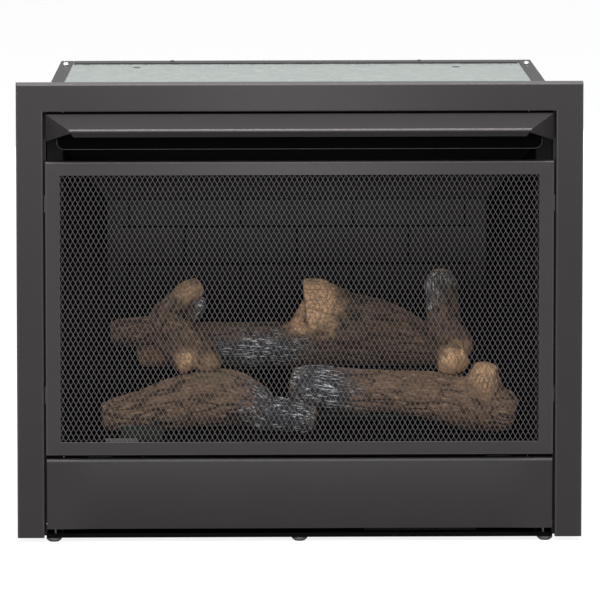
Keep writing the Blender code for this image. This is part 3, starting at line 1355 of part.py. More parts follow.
def logs():
    """The log set: one at the rear, two in front and two branches leaning across."""
    rear = log_tube("rear_log", REAR_LOG_SHARES)
    join(rear, log_tube("rear_log_stump", STUMP_SHARES, 4, STUMP_FLATNESS_SHARE))
    keep(flat_seat(rear, REST_TOP), bark())

    left = log_tube("left_front_log", LEFT_FRONT_SHARES)
    join(left, log_tube("left_front_knot", LEFT_KNOT_SHARES, 2))
    keep(flat_seat(left, GRATE_TOP), bark())

    right = log_tube("right_front_log", RIGHT_FRONT_SHARES)
    join(right, log_tube("right_front_knot", RIGHT_KNOT_SHARES, 2))
    flat_seat(right, GRATE_TOP)
    cut(right, clearance_copy(left, "left_front_clearance"))
    keep(right, bark())

    branch = log_tube("left_branch_log", LEFT_BRANCH_SHARES)
    join(branch, log_tube("left_branch_arm", LEFT_ARM_SHARES))
    cut(branch, clearance_copy(rear, "rear_clearance_left"))
    cut(branch, clearance_copy(left, "front_clearance_left"))
    keep(branch, bark())

    branch = log_tube("right_branch_log", RIGHT_BRANCH_SHARES)
    join(branch, log_tube("right_branch_knot", RIGHT_BRANCH_KNOT_SHARES, 2))
    cut(branch, clearance_copy(rear, "rear_clearance_right"))
    cut(branch, clearance_copy(right, "front_clearance_right"))
    keep(branch, bark())


def main():
    start_scene()
    mirrored_pair(side_panel)
    back_panel()
    top_panel()
    mirrored_pair(top_screw)
    base_pan()
    feet()
    front_surround()
    mirrored_pair(front_post)
    hood()
    hood_baffle()
    firebox_floor()
    firebox_rear_wall()
    mirrored_pair(firebox_side_wall)
    firebox_roof()
    screen_parts()
    lower_door()
    mirrored_pair(hinge_bracket)
    mirrored_pair(door_catch)
    burner_tube()
    front_log_grate()
    rear_log_rest()
    pilot_parts()
    control_panel()
    gas_valve()
    control_knob_parts()
    igniter_parts()
    gas_train()
    pilot_lines()
    logs()


main()
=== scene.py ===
"""Finish of a vent-free gas fireplace insert.

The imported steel, gas and log parts come in as a fixed frame.  This file gives every part its
finish, and puts skins worked out with numpy over the pieces that a photograph looks at: folded
sheets with real bends, expanded metal, bark, screws and dial marks.  Metres, +Z up, front to -Y.
"""

import itertools
import json
import math
from functools import partial

import bpy
import numpy as np
from bpy.props import FloatProperty, FloatVectorProperty, PointerProperty
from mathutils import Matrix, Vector


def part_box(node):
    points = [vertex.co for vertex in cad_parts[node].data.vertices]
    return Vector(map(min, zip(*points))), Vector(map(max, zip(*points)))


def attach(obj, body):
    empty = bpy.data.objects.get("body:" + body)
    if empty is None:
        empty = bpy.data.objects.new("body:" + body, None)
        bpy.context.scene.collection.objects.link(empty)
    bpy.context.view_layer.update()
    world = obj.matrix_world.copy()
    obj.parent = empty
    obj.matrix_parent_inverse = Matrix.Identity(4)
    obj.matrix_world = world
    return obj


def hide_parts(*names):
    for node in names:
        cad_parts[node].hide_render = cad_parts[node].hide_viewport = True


bl_info = {
    "name": "Gas Fireplace Insert",
    "version": (1, 0, 0),
    "blender": (4, 5, 0),
    "location": "View3D > Sidebar > Fireplace",
    "description": "Finishes a vent-free gas fireplace insert: folded sheets, expanded metal and logs",
    "category": "Add Mesh",
}

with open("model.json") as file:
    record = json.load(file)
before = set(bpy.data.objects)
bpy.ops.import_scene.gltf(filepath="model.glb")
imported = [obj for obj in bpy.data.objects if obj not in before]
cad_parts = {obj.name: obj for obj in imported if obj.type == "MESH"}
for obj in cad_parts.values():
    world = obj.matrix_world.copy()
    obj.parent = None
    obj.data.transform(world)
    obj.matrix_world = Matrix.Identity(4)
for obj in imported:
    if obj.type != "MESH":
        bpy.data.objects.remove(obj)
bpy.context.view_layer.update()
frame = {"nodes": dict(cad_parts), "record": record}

MM = 0.001
BACK = np.array((0.0, 1.0, 0.0))
UP = np.array((0.0, 0.0, 1.0))
FACE_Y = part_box("front_surround")[0].y
FLOOR_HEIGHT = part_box("firebox_floor")[1].z / MM


def from_hex(code):
    """A linear RGB colour from an sRGB hex code."""
    shares = [int(code[place:place + 2], 16) / 255 for place in (0, 2, 4)]
    return tuple(c / 12.92 if c <= 0.04045 else ((c + 0.055) / 1.055) ** 2.4 for c in shares)


# Settings that a user would change
def length_setting(name, description, size):
    """A length, given in millimetres."""
    return FloatProperty(name=name, description=description, default=size * MM, unit="LENGTH")


def colour_setting(name, description, code):
    """A colour, given as an sRGB hex code."""
    return FloatVectorProperty(name=name, description=description, default=from_hex(code),
                               subtype="COLOR", min=0, max=1)


def number_setting(name, description, number):
    """A plain number, such as a lamp's power in watts."""
    return FloatProperty(name=name, description=description, default=number)


class SheetSettings(bpy.types.PropertyGroup):
    """Sizes of the folded steel and of the expanded metal."""
    thickness: length_setting("Sheet", "Thickness of the folded steel sheet", 1.2)
    bend: length_setting("Bend radius", "Outer radius of a fold in the trim", 2.0)
    hood_bend: length_setting(
        "Hood bend radius", "Outer radius of the fold along the hood's front", 2.2)
    cut_edge: length_setting("Cut edge", "Radius that the coating leaves on a cut edge", 0.35)
    diamond_width: length_setting(
        "Diamond width", "Short way of one diamond of the expanded metal", 6.69)
    diamond_height: length_setting(
        "Diamond height", "Long way of one diamond of the expanded metal", 12.3)
    strand: length_setting("Strand", "Width of a strand of the expanded metal", 0.9)
    strand_tilt: length_setting(
        "Strand tilt", "How far one edge of a strand stands in front of the other", 0.7)


class LogSettings(bpy.types.PropertyGroup):
    """Sizes of the bark on the ceramic logs."""
    crack_depth: length_setting("Crack depth", "Depth of the cracks between the plates of bark", 2.6)
    plate_length: length_setting("Plate length", "Length of a plate of bark along the log", 40.0)
    plate_width: length_setting("Plate width", "Width of a plate of bark round the log", 8.5)
    step: length_setting("Mesh step", "Distance between neighbouring points of the bark", 1.35)


class ColourSettings(bpy.types.PropertyGroup):
    """The finishes' main colours."""
    coat: colour_setting(
        "Powder coat", "Black textured coat of the trim, hood, screen and door", "2D2A2B")
    # The net's paler colour is a painted sheen for the light that the leaning strands catch.
    net: colour_setting("Net", "The same coat where it builds up on the net's strands", "625E5F")
    paint: colour_setting("Stove paint", "Heat-proof paint inside the firebox", "0A0A0A")
    lining: colour_setting("Lining", "Heat-proof paint on the ribbed back of the firebox", "474648")
    zinc: colour_setting("Zinc", "Galvanised top", "9AA29E")
    bark: colour_setting("Bark", "Raised plates of the painted bark", "7F6753")
    fresh: colour_setting("Cut wood", "Knots and cut ends of the logs", "C9A27B")
    ash: colour_setting("Ash", "White ash on the charred places", "D9DBDC")


class StageSettings(bpy.types.PropertyGroup):
    """The camera's place and the lamps' strength."""
    camera_distance: FloatProperty(
        name="Camera distance", description="From the camera to the middle of the trim's face",
        default=14.0, unit="LENGTH")
    camera_height: FloatProperty(
        name="Camera elevation", description="Angle of the camera above the horizon",
        default=math.radians(10.3), subtype="ANGLE")
    camera_turn: FloatProperty(
        name="Camera azimuth", description="Angle of the camera to the right of the front",
        default=math.radians(-1.0), subtype="ANGLE")
    lens: number_setting("Lens", "Focal length in millimetres on a 36 mm wide sensor", 647.0)
    aim_height: FloatProperty(
        name="Aim height", description="Height of the point in the middle of the picture",
        default=0.3206, unit="LENGTH")
    key: number_setting("Key", "Power of the soft box that looks down into the opening", 56.0)
    overhead: number_setting("Overhead", "Power of the strip above the top and the hood", 54.0)
    fill: number_setting("Fill", "Power of the weak lamp in front", 24.0)
    card: number_setting("Card", "Power of the near card that the upright faces reflect", 0.85)
    rear: number_setting("Rear", "Power of the low lamp behind, which the top hides", 40.0)


# Materials
def add_node(tree, kind, inputs=None, **settings):
    """A node with its settings and its inputs.  An input is a value, another node's output, or
    another node, which stands for the first output that it has in use."""
    node = tree.nodes.new("ShaderNode" + kind)
    for name, value in settings.items():
        setattr(node, name, value)
    for name, value in (inputs or {}).items():
        if isinstance(value, bpy.types.Node):
            value = next(output for output in value.outputs if output.enabled)
        if isinstance(value, bpy.types.NodeSocket):
            tree.links.new(value, node.inputs[name])
        else:
            node.inputs[name].default_value = value
    return node


def empty_finish(name):
    """A material with no nodes yet, and the call that adds one to it."""
    made = bpy.data.materials.new(name)
    made.use_nodes = True
    made.node_tree.nodes.clear()
    return made, partial(add_node, made.node_tree)


def finished(made, node, looks, height, depth, strength=0.5):
    """A finish closed with its relief, the shader that has these looks, and the output.  The
    relief's depth is in millimetres."""
    relief = node("Bump", {"Height": height, "Distance": depth * MM, "Strength": strength})
    shader = node("BsdfPrincipled", {**looks, "Normal": relief})
    node("OutputMaterial", {"Surface": shader})
    return made


def opaque(code):
    """A hex code's colour with full alpha."""
    return (*from_hex(code), 1)


def scaled(colour, factor):
    """A colour made lighter or darker, with full alpha."""
    return (*(min(1.0, channel * factor) for channel in colour[:3]), 1.0)


def black_coating(name, colour, spread, roughness, specular, cloud_size, grain_size, grain_depth):
    """A black paint or powder on steel: a soft cloud in its tone, and a fine grain in its gloss
    and relief.  Where a bend was rubbed in handling it is glossier, and its colour is painted
    paler there as a painted highlight.  Sizes are in millimetres."""
    made, node = empty_finish(name)
    place = node("TexCoord").outputs["Object"]
    cloud = node("TexNoise", {
        "Vector": place, "Scale": 0.5 / (cloud_size * MM), "Detail": 4.0, "Roughness": 0.6})
    tone = node("Mix", {
        0: cloud, 6: scaled(colour, 1 - spread), 7: scaled(colour, 1 + spread)}, data_type="RGBA")
    rubbed = node("Attribute", attribute_name="rubbed").outputs["Fac"]
    # Painted highlight: the colour turns 3.2 times paler where the bend's attribute is 1.
    overlaid = node("Mix", {0: rubbed, 6: tone, 7: scaled(colour, 3.2)}, data_type="RGBA")
    fine = node("TexNoise", {
        "Vector": place, "Scale": 0.5 / (grain_size * MM), "Detail": 2.0, "Roughness": 0.6})
    dull = node("MapRange", {
        "Value": fine, "From Min": 0.3, "From Max": 0.7, "To Min": roughness - 0.05,
        "To Max": roughness + 0.05})
    gloss = node("Math", {0: rubbed, 1: -0.2, 2: dull}, operation="MULTIPLY_ADD")
    return finished(made, node, {
        "Base Color": overlaid, "Roughness": gloss, "Specular IOR Level": specular}, fine, grain_depth)


def hot_dip_galvanised():
    """Hot-dip zinc on steel: pale green-grey crystals a few millimetres wide, softly bright."""
    made, node = empty_finish("hot_dip_galvanised_sheet")
    zinc = bpy.context.scene.fireplace_colours.zinc
    place = node("TexCoord").outputs["Object"]
    bend = node("TexNoise", {"Vector": place, "Scale": 180.0, "Detail": 2.0})
    drift = node("VectorMath", {0: bend.outputs["Color"], "Scale": 2.2 * MM}, operation="SCALE")
    moved = node("VectorMath", {0: place, 1: drift}, operation="ADD")
    # Crystals 6 mm wide, each with its own tone and gloss.
    spangle = node("TexVoronoi", {"Vector": moved, "Scale": 1 / (6 * MM)})
    one = node("SeparateColor", {0: spangle.outputs["Color"]})
    tone = node("Mix", {0: one, 6: scaled(zinc, 0.86), 7: scaled(zinc, 1.1)}, data_type="RGBA")
    gloss = node("MapRange", {"Value": one, "To Min": 0.34, "To Max": 0.52})
    waves = node("TexNoise", {"Vector": place, "Scale": 0.5 / (3 * MM)})
    return finished(made, node, {"Base Color": tone, "Roughness": gloss, "Metallic": 0.85},
                    waves, 0.04, 0.4)


def worked_metal(name, low, high, roughness, metallic, cloud_size, line_size, stretch=(1, 1, 1),
                 dark_below=(0, 0)):
    """Rolled, turned or cast metal: a cloud of handling between two tones, and the lines or pits
    of its making in gloss and relief, stretched along them.  It darkens below the second
    height and is black at the first.  Sizes are in millimetres."""
    made, node = empty_finish(name)
    place = node("TexCoord").outputs["Object"]
    along = node("Mapping", {"Vector": place, "Scale": stretch})
    cloud = node("TexNoise", {"Vector": place, "Scale": 0.5 / (cloud_size * MM), "Detail": 3.0})
    lines = node("TexNoise", {"Vector": along, "Scale": 0.5 / (line_size * MM), "Detail": 2.0})
    tone = node("Mix", {0: cloud, 6: opaque(low), 7: opaque(high)}, data_type="RGBA")
    height = node("SeparateXYZ", {0: place})
    undarkened = node("MapRange", {
        "Value": height.outputs[2], "From Min": dark_below[0] * MM, "From Max": (dark_below[1] + 1) * MM})
    tone = node("Mix", {0: undarkened, 6: opaque("050505"), 7: tone}, data_type="RGBA")
    gloss = node("MapRange", {
        "Value": lines, "From Min": 0.3, "From Max": 0.7, "To Min": roughness - 0.07,
        "To Max": roughness + 0.09})
    return finished(made, node, {"Base Color": tone, "Roughness": gloss, "Metallic": metallic},
                    lines, 0.03)


def moulded(name, low, high, roughness, grain_size, grain_depth):
    """Moulded plastic, rubber or fired ceramic: two close tones that drift over its grain, which
    also breaks up its gloss.  Sizes are in millimetres."""
    made, node = empty_finish(name)
    place = node("TexCoord").outputs["Object"]
    grain = node("TexNoise", {
        "Vector": place, "Scale": 0.5 / (grain_size * MM), "Detail": 4.0, "Roughness": 0.65})
    tone = node("Mix", {0: grain, 6: opaque(low), 7: opaque(high)}, data_type="RGBA")
    gloss = node("MapRange", {
        "Value": grain, "From Min": 0.3, "From Max": 0.7, "To Min": roughness - 0.06,
        "To Max": roughness + 0.08})
    return finished(made, node, {"Base Color": tone, "Roughness": gloss}, grain, grain_depth)


def lining_with_painted_shade():
    """Silicone paint on the pressed lining: dead matt with a dusty cloud in its tone, and painted
    shade: black low down behind the logs, dark under the roof, and dark in the pressed joints."""
    shade_low, shade_high, roof_low, roof_high = 0.27, 0.43, 0.425, 0.475
    made, node = empty_finish("sooted_lining_paint")
    colours = bpy.context.scene.fireplace_colours
    place = node("TexCoord").outputs["Object"]
    joint = node("Attribute", attribute_name="joint").outputs["Fac"]
    cloud = node("TexNoise", {
        "Vector": place, "Scale": 0.5 / (45 * MM), "Detail": 4.0, "Roughness": 0.6})
    dusty = node("Mix", {
        0: cloud, 6: scaled(colours.lining, 0.75), 7: scaled(colours.lining, 1.25)}, data_type="RGBA")
    height = node("SeparateXYZ", {0: place})
    # Painted shade: black low down, where the logs shade the wall, and dark high up under the roof and
    # the hood.
    above = node("MapRange", {
        "Value": height.outputs[2], "From Min": shade_low,
        "From Max": shade_high}, interpolation_type="SMOOTHSTEP")
    under_roof = node("MapRange", {
        "Value": height.outputs[2], "From Min": roof_low, "From Max": roof_high, "To Min": 1.0,
        "To Max": 0.1}, interpolation_type="SMOOTHSTEP")
    lit_share = node("Math", {0: above, 1: under_roof}, operation="MULTIPLY")
    # Painted shade in the pressed joints too.
    undarkened = node("Math", {0: joint, 1: -0.75, 2: lit_share}, operation="MULTIPLY_ADD")
    tone = node("Mix", {
        0: undarkened, 6: scaled(colours.paint, 0.8), 7: dusty}, data_type="RGBA", clamp_factor=True)
    fine = node("TexNoise", {"Vector": place, "Scale": 0.5 / (0.8 * MM)})
    return finished(made, node, {"Base Color": tone, "Roughness": 0.85, "Specular IOR Level": 0.04},
                    fine, 0.06)


def painted_ceramic_bark():
    """Refractory fibre cast in a bark mould and sprayed: brown plates, dark cracks, tan cuts and
    charred places with streaks of white ash, all as dry and matt as chalk."""
    made, node = empty_finish("painted_ceramic_bark")
    colours = bpy.context.scene.fireplace_colours
    height, char, fresh, moss, smoke = (
        node("Attribute", attribute_name=name).outputs["Fac"]
        for name in ("bark_height", "char", "fresh", "moss", "smoke"))
    grown = node("Attribute", attribute_name="along_log").outputs["Vector"]
    stretched = node("Mapping", {"Vector": grown, "Scale": (0.28, 1, 1)})
    patch, spray, speck = (node("TexNoise", {
        "Vector": grown, "Scale": 0.5 / (size * MM), "Detail": 3.0, "Roughness": 0.65})
        for size in (9, 28, 1.2))
    # Wood grain is about 1 mm wide in the mould.  It is drawn at 1.6 mm, so that it shows.
    grain = node("TexNoise", {
        "Vector": stretched, "Scale": 0.5 / (1.6 * MM), "Detail": 4.0, "Roughness": 0.65})
    lines = node("MapRange", {"Value": grain, "From Min": 0.36, "From Max": 0.62})
    brown = node("Mix", {
        0: lines, 6: scaled(colours.bark, 0.5), 7: scaled(colours.bark, 1.3)}, data_type="RGBA")
    # A second gun lays a redder brown in broad clouds over the first.
    clouds = node("MapRange", {"Value": spray, "From Min": 0.42, "From Max": 0.62, "To Max": 0.5})
    sprayed = node("Mix", {0: clouds, 6: brown, 7: opaque("6F5343")}, data_type="RGBA")
    # A nearly dry brush leaves a pale tan on the highest ridges.
    ridges = node("MapRange", {"Value": grain, "From Min": 0.58, "From Max": 0.68, "To Max": 0.55})
    brushed = node("Mix", {0: ridges, 6: sprayed, 7: opaque("BCA890")}, data_type="RGBA")
    mossy = node("Mix", {0: moss, 6: brushed, 7: opaque("716850")}, data_type="RGBA")
    raised = node("MapRange", {
        "Value": height, "From Min": 0.0, "From Max": 0.8,
        "To Min": 0.13}, interpolation_type="SMOOTHSTEP")
    bark = node("Mix", {0: raised, 6: scaled(colours.bark, 0.16), 7: mossy}, data_type="RGBA")
    # Painted shade: the log's shade attribute darkens the bark, most on the rear log and the branches.
    shaded_bark = node("Mix", {
        0: smoke, 6: bark, 7: opaque("A3A3A6")}, data_type="RGBA", blend_type="MULTIPLY")
    cracked = node("TexNoise", {
        "Vector": grown, "Scale": 0.5 / (1.9 * MM), "Detail": 3.0, "Roughness": 0.7})
    pale = node("MapRange", {"Value": cracked, "From Min": 0.38, "From Max": 0.58})
    wood = node("Mix", {
        0: pale, 6: scaled(colours.fresh, 0.4), 7: scaled(colours.fresh, 1.2)}, data_type="RGBA")
    overlaid = node("Mix", {0: fresh, 6: shaded_bark, 7: wood}, data_type="RGBA")
    drawn_out = node("Mapping", {"Vector": grown, "Scale": (0.15, 1, 1)})
    crackle = node("TexNoise", {
        "Vector": drawn_out, "Scale": 0.5 / (1.0 * MM), "Detail": 2.0, "Distortion": 0.5})
    bright = node("MapRange", {"Value": crackle, "From Min": 0.55, "From Max": 0.61})
    broken = node("MapRange", {"Value": patch, "From Min": 0.42, "From Max": 0.56, "To Min": 0.1})
    streak = node("Math", {0: bright, 1: broken}, operation="MULTIPLY")
    coal = node("Mix", {0: speck, 6: opaque("121315"), 7: opaque("4C4F54")}, data_type="RGBA")
    burnt = node("Mix", {0: streak, 6: coal, 7: scaled(colours.ash, 1.0)}, data_type="RGBA")
    finish = node("Mix", {0: char, 6: overlaid, 7: burnt}, data_type="RGBA")
    rough = node("Math", {0: grain, 1: speck}, operation="ADD")
    return finished(made, node, {"Base Color": finish, "Roughness": 0.95, "Specular IOR Level": 0.15},
                    rough, 0.5, 0.7)


FINISHES = {}


def make_finishes():
    """Make every finish once, under the word that the pieces use."""
    colours = bpy.context.scene.fireplace_colours
    FINISHES.update(
        # Baked polyester powder: a soft grey sheen and never a mirror.  Its leather grain is
        # 0.3 mm across and is drawn at 0.9 mm, so that it shows.
        coat=black_coating("textured_powder_coat", colours.coat, 0.13, 0.40, 0.3, 80, 0.9, 0.05),
        # The screen's frame takes the coat's colour made 1.45 times paler.
        frame=black_coating("twice_coated_frame", scaled(colours.coat, 1.45), 0.1, 0.38, 0.3,
                            60, 0.9, 0.05),
        # The same powder on the net's sheared strands, painted paler as a painted sheen for the
        # light that the leaning strands catch.
        net=black_coating("powder_coated_strands", colours.net, 0.1, 0.45, 0.4, 25, 0.9, 0.04),
        # Thin stoving paint on the outer box: semi-matt, with a slight orange peel.
        shell=black_coating("stoved_casing_paint", scaled(colours.coat, 0.68), 0.2, 0.5, 0.3,
                            50, 1.6, 0.05),
        # The same paint, duller, and darker: a painted shade for the posts beside the opening.
        casing=black_coating("smoked_casing_paint", scaled(colours.coat, 0.22), 0.25, 0.6, 0.1,
                             50, 1.6, 0.05),
        # Sprayed silicone paint: dead matt, a little dusty, with faint runs of overspray.
        paint=black_coating("heat_proof_stove_paint", colours.paint, 0.3, 0.85, 0.03, 35, 0.8, 0.06),
        lining=lining_with_painted_shade(),
        zinc=hot_dip_galvanised(),
        # Mill-finish sheet with faint rolling lines along it, dull where it was handled.
        steel=worked_metal("aluminised_steel", "80807D", "A8A8A5", 0.42, 0.9, 14, 0.6, (1, 5, 5)),
        # Steel that a flame has browned and blued, darker towards the bottom and black near the
        # firebox's floor.
        heated=worked_metal("heat_tinted_steel", "161B19", "343A33", 0.5, 0.8, 14, 0.6, (1, 4, 4),
                            (FLOOR_HEIGHT + 10, FLOOR_HEIGHT + 18)),
        # Anodised plate, dulled to brown-grey by smoke.
        dulled=worked_metal("smoke_dulled_aluminium", "4A4945", "5F5D58", 0.55, 0.6, 8, 0.5, (1, 4, 4)),
        # Hardened strip with a thin blue oxide.
        spring=worked_metal("blued_spring_steel", "474A4F", "5C6066", 0.34, 0.9, 9, 0.5, (4, 1, 1)),
        # Bright zinc plate on a headed screw.
        screw=worked_metal("zinc_plated_screw", "B5B4AE", "E0DFD9", 0.3, 0.9, 5, 0.4),
        # Turned free-cutting brass: yellow and bright, with fine tool rings and a warm tarnish.
        brass=worked_metal("machined_brass", "A67C36", "D6AE5C", 0.32, 1.0, 5, 0.5, (6, 1, 1)),
        # Die-cast aluminium from the tumbler: light grey, satin, slightly pitted.
        aluminium=worked_metal("die_cast_aluminium", "9A9C9E", "B6B8BA", 0.5, 0.85, 12, 0.8),
        # Glass-filled nylon from a spark-eroded mould: even colour, fine matt grain.
        plastic=moulded("moulded_black_nylon", "1B1B1B", "242423", 0.42, 0.5, 0.03),
        red=moulded("moulded_red_nylon", "9E1713", "B4201A", 0.38, 0.5, 0.03),
        # Moulded EPDM: grey, soft and matt, with dust in its pores.
        rubber=moulded("epdm_rubber", "454544", "737371", 0.82, 1.4, 0.05),
        # Glazed alumina: warm white and smooth, with faint firing specks.
        ceramic=moulded("glazed_alumina", "CFC7B6", "EAE6DC", 0.28, 0.7, 0.01),
        # The same, black with soot where it stands beside the flame.
        sooted=moulded("sooted_alumina", "1F1E1C", "4A4740", 0.5, 1.0, 0.01),
        # Pad-printed ink, baked on: flat, a little worn.
        ink=moulded("baked_print", "C4C4C1", "F0F0EE", 0.6, 0.6, 0.01),
        bark=painted_ceramic_bark())


NODE_FINISHES = {
    "powder_coat": "coat", "stove_paint": "paint", "galvanised": "zinc", "steel": "steel",
    "brass": "brass", "cast_aluminium": "aluminium", "black_plastic": "plastic",
    "red_plastic": "red", "rubber": "rubber", "ceramic": "ceramic", "log_bark": "bark",
}


OWN_FINISHES = {node: finish for finish, nodes in {
    # The posts take the darkened paint, a painted shade.
    "casing": ("front_post_left", "front_post_right"),
    "paint": ("base_pan",),
    "shell": ("side_panel_left", "side_panel_right", "back_panel", "control_panel"),
    "lining": ("firebox_rear_wall", "firebox_roof"),
    "heated": ("pilot_bracket", "pilot_burner", "thermocouple", "burner_tube"),
    "sooted": ("spark_electrode",),
    "spring": ("screen_clip_left_lower", "screen_clip_left_upper", "screen_clip_right_lower",
               "screen_clip_right_upper"),
}.items() for node in nodes}


# Surfaces
def add_object(name, data):
    """An object in the scene, with its mesh, lamp or camera."""
    made = bpy.data.objects.new(name, data)
    bpy.context.scene.collection.objects.link(made)
    return made


def add_piece(name, shape, body, finish, replaced=(), sharp=35.0):
    """A mesh object from a shape, its points and faces, in its finish, riding on a body."""
    points, faces = shape
    mesh = bpy.data.meshes.new(name)
    mesh.from_pydata(np.asarray(points, float).tolist(), [], facing_out(points, faces))
    mesh.shade_smooth()
    mesh.set_sharp_from_angle(angle=math.radians(sharp))
    mesh.materials.append(FINISHES[finish])
    piece = add_object(name, mesh)
    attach(piece, body)
    if replaced:
        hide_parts(*replaced)
    return piece


def stacked(*parts):
    """Arrays stretched to fit one another, such as points' x, y and z, side by side in a new
    last axis."""
    return np.stack(np.broadcast_arrays(*parts), axis=-1)


def unit(arrows):
    """Arrows of the same directions, each of length 1."""
    return arrows / np.linalg.norm(arrows, axis=1, keepdims=True)


def circle(sides):
    """Evenly spaced angles round a circle."""
    return np.linspace(0, 2 * math.pi, sides, endpoint=False)


def grid_faces(rows, columns, closed_rows=False, closed_columns=False):
    """Quads between the neighbours of a grid of points that is stored row by row."""
    row = np.arange(rows if closed_rows else rows - 1)[:, None]
    column = np.arange(columns if closed_columns else columns - 1)[None, :]
    next_row = (row + 1) % rows
    next_column = (column + 1) % columns
    corners = stacked(row * columns + column, row * columns + next_column,
                      next_row * columns + next_column, next_row * columns + column)
    return corners.reshape(-1, 4).tolist()


def rounded_loop(corners, radii, steps=6, support=0.25 * MM):
    """A closed outline whose corners are arcs: each arc turns evenly from one side's direction
    to the next about its centre, and a point on either side of it keeps the flats flat."""
    corners = np.asarray(corners, float)
    radii = np.broadcast_to(np.asarray(radii, float), len(corners))[:, None]
    back = unit(np.roll(corners, 1, axis=0) - corners)
    forth = unit(np.roll(corners, -1, axis=0) - corners)
    half = np.arccos(np.clip((back * forth).sum(1), -1, 1))[:, None] / 2
    reach = radii / np.tan(half)
    centre = corners + unit(back + forth) * radii / np.sin(half)
    first = (corners + back * reach - centre) / radii
    last = (corners + forth * reach - centre) / radii
    turn = (math.pi - 2 * half)[:, None, :]
    share = np.linspace(0, 1, steps + 1)[None, :, None]
    arcs = centre[:, None] + radii[:, None] * (
        np.sin((1 - share) * turn) * first[:, None] + np.sin(share * turn) * last[:, None]
    ) / np.sin(turn)
    before = (corners + back * (reach + support))[:, None]
    after = (corners + forth * (reach + support))[:, None]
    return np.concatenate((before, arcs, after), axis=1).reshape(-1, 2)


def bend_rub_and_highlight(corners, corner_amounts, steps=6):
    """How rubbed each point of a rounded outline is, and how strongly its painted highlight
    shows: the given amounts set it for some of its corners.
    """
    amount = np.zeros((corners, steps + 3))
    for corner, share in corner_amounts.items():
        amount[corner, 1:-1] = share
    return amount.ravel()


def give(piece, name, values):
    """Store one number for each point of a piece, for its finish to read.  Fewer values start
    again for each row of points."""
    made = piece.data.attributes.new(name, "FLOAT", "POINT")
    made.data.foreach_set("value", np.resize(np.asarray(values, np.float32), len(made.data)))


def capped_loops(loops, closed=False):
    """Closed loops of points joined by quads, with a flat cap on the first and on the last, or
    with the last joined to the first."""
    rows, columns = loops.shape[:2]
    faces = grid_faces(rows, columns, closed, True)
    if not closed:
        first = list(range(columns))
        faces += [first[::-1], [(rows - 1) * columns + corner for corner in first]]
    return loops.reshape(-1, 3), faces


def carried(section, places, outward, closed=False):
    """A closed section carried along a path: place + across * outward + depth * back.
    The outward arrows of a corner are as long as its mitre needs.  Open ends get caps."""
    loops = (places[:, None] + section[None, :, :1] * outward[:, None]
             + section[None, :, 1:] * BACK)
    return capped_loops(loops, closed)


def flipped(faces):
    """The same faces, turned to look the other way."""
    return [face[::-1] for face in faces]


def facing_out(points, faces):
    """The faces, turned if the closed shape that they make holds a negative volume."""
    points = np.asarray(points, float)
    total = 0.0
    for size in {len(face) for face in faces}:
        corners = points[np.array([face for face in faces if len(face) == size])]
        first = corners[:, :1]
        fan = np.cross(corners[:, 1:-1] - first, corners[:, 2:] - first)
        total += (fan.sum(1) * corners[:, 0]).sum()
    return flipped(faces) if total < 0 else faces


def merged(*parts):
    """Several closed shapes, each points and faces, as one."""
    points, faces, count = [], [], 0
    for part_points, part_faces in parts:
        points.append(part_points)
        faces += [[corner + count for corner in face] for face in facing_out(part_points, part_faces)]
        count += len(part_points)
    return np.concatenate(points), faces


def channel_section(width, depth, sheet, bend, cut):
    """Section of a trim: a face with a wall turned back at each edge.  Across runs from 0 at the
    outer edge to -width at the inner edge, and depth runs back from the face."""
    corners = ((0, depth), (0, 0), (-width, 0), (-width, depth), (sheet - width, depth),
               (sheet - width, sheet), (-sheet, sheet), (-sheet, depth))
    inner = max(bend - sheet, cut)
    return rounded_loop(corners, (cut, bend, bend, cut, cut, inner, inner, cut))


def path_with_supports(places, outward, support=0.4 * MM):
    """A path's places and arrows with one more place near each end of every run."""
    rows = []
    for start, end, first, last in zip(places, places[1:], outward, outward[1:]):
        share = support / np.linalg.norm(end - start)
        for step in (0, share, 1 - share):
            rows.append((start + (end - start) * step, first + (last - first) * step))
    rows.append((places[-1], outward[-1]))
    return (np.array(column) for column in zip(*rows))


def disc_grid(radius, heights, sides, place):
    """Rings of points about an upright axis: ring k has its own radius and height."""
    angle, radius = circle(sides), radius[:, None]
    return stacked(radius * np.cos(angle), radius * np.sin(angle), heights[:, None]) + place


def capped_rings(rings, first_pole=None, last_pole=None):
    """Rings of points joined by quads and closed by a fan of triangles round each pole, which
    is the middle of its ring unless it is given."""
    count, sides = rings.shape[:2]
    poles = [ring.mean(0) if pole is None else pole
             for ring, pole in ((rings[0], first_pole), (rings[-1], last_pole))]
    points = np.concatenate((rings.reshape(-1, 3), poles))
    faces = grid_faces(count, sides, False, True)
    corner = np.arange(sides)
    after = (corner + 1) % sides
    top = stacked(count * sides, after, corner)
    base = (count - 1) * sides
    low = stacked(count * sides + 1, base + corner, base + after)
    return points, faces + top.tolist() + low.tolist()


# Pieces
def surround_skin():
    """The trim: one channel section carried up, across and down with mitred corners, as wide as
    leaves the gaps beside and above the hood."""
    sheet = bpy.context.scene.fireplace_sheet
    side_gap, top_gap = 3.5 * MM, 2.9 * MM
    low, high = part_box("front_surround")
    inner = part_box("hood")[1].x + side_gap
    width = high.x - inner
    rail_share = (high.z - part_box("hood")[1].z - top_gap) / width
    section = channel_section(width, high.y - low.y, sheet.thickness, sheet.bend, sheet.cut_edge)
    side, up = np.array((1.0, 0, 0)), UP * rail_share
    places = np.array(((low.x, low.y, low.z), (low.x, low.y, high.z),
                       (high.x, low.y, high.z), (high.x, low.y, low.z)))
    outward = np.array((-side, up - side, up + side, side))
    piece = add_piece("surround_skin", carried(section, *path_with_supports(places, outward)),
                      "casing", "coat", ("front_surround",))
    # Painted highlight, with a rubbed gloss, along the folds at the face's outer and inner edges.
    give(piece, "rubbed", bend_rub_and_highlight(8, {1: 0.6, 2: 0.4}))


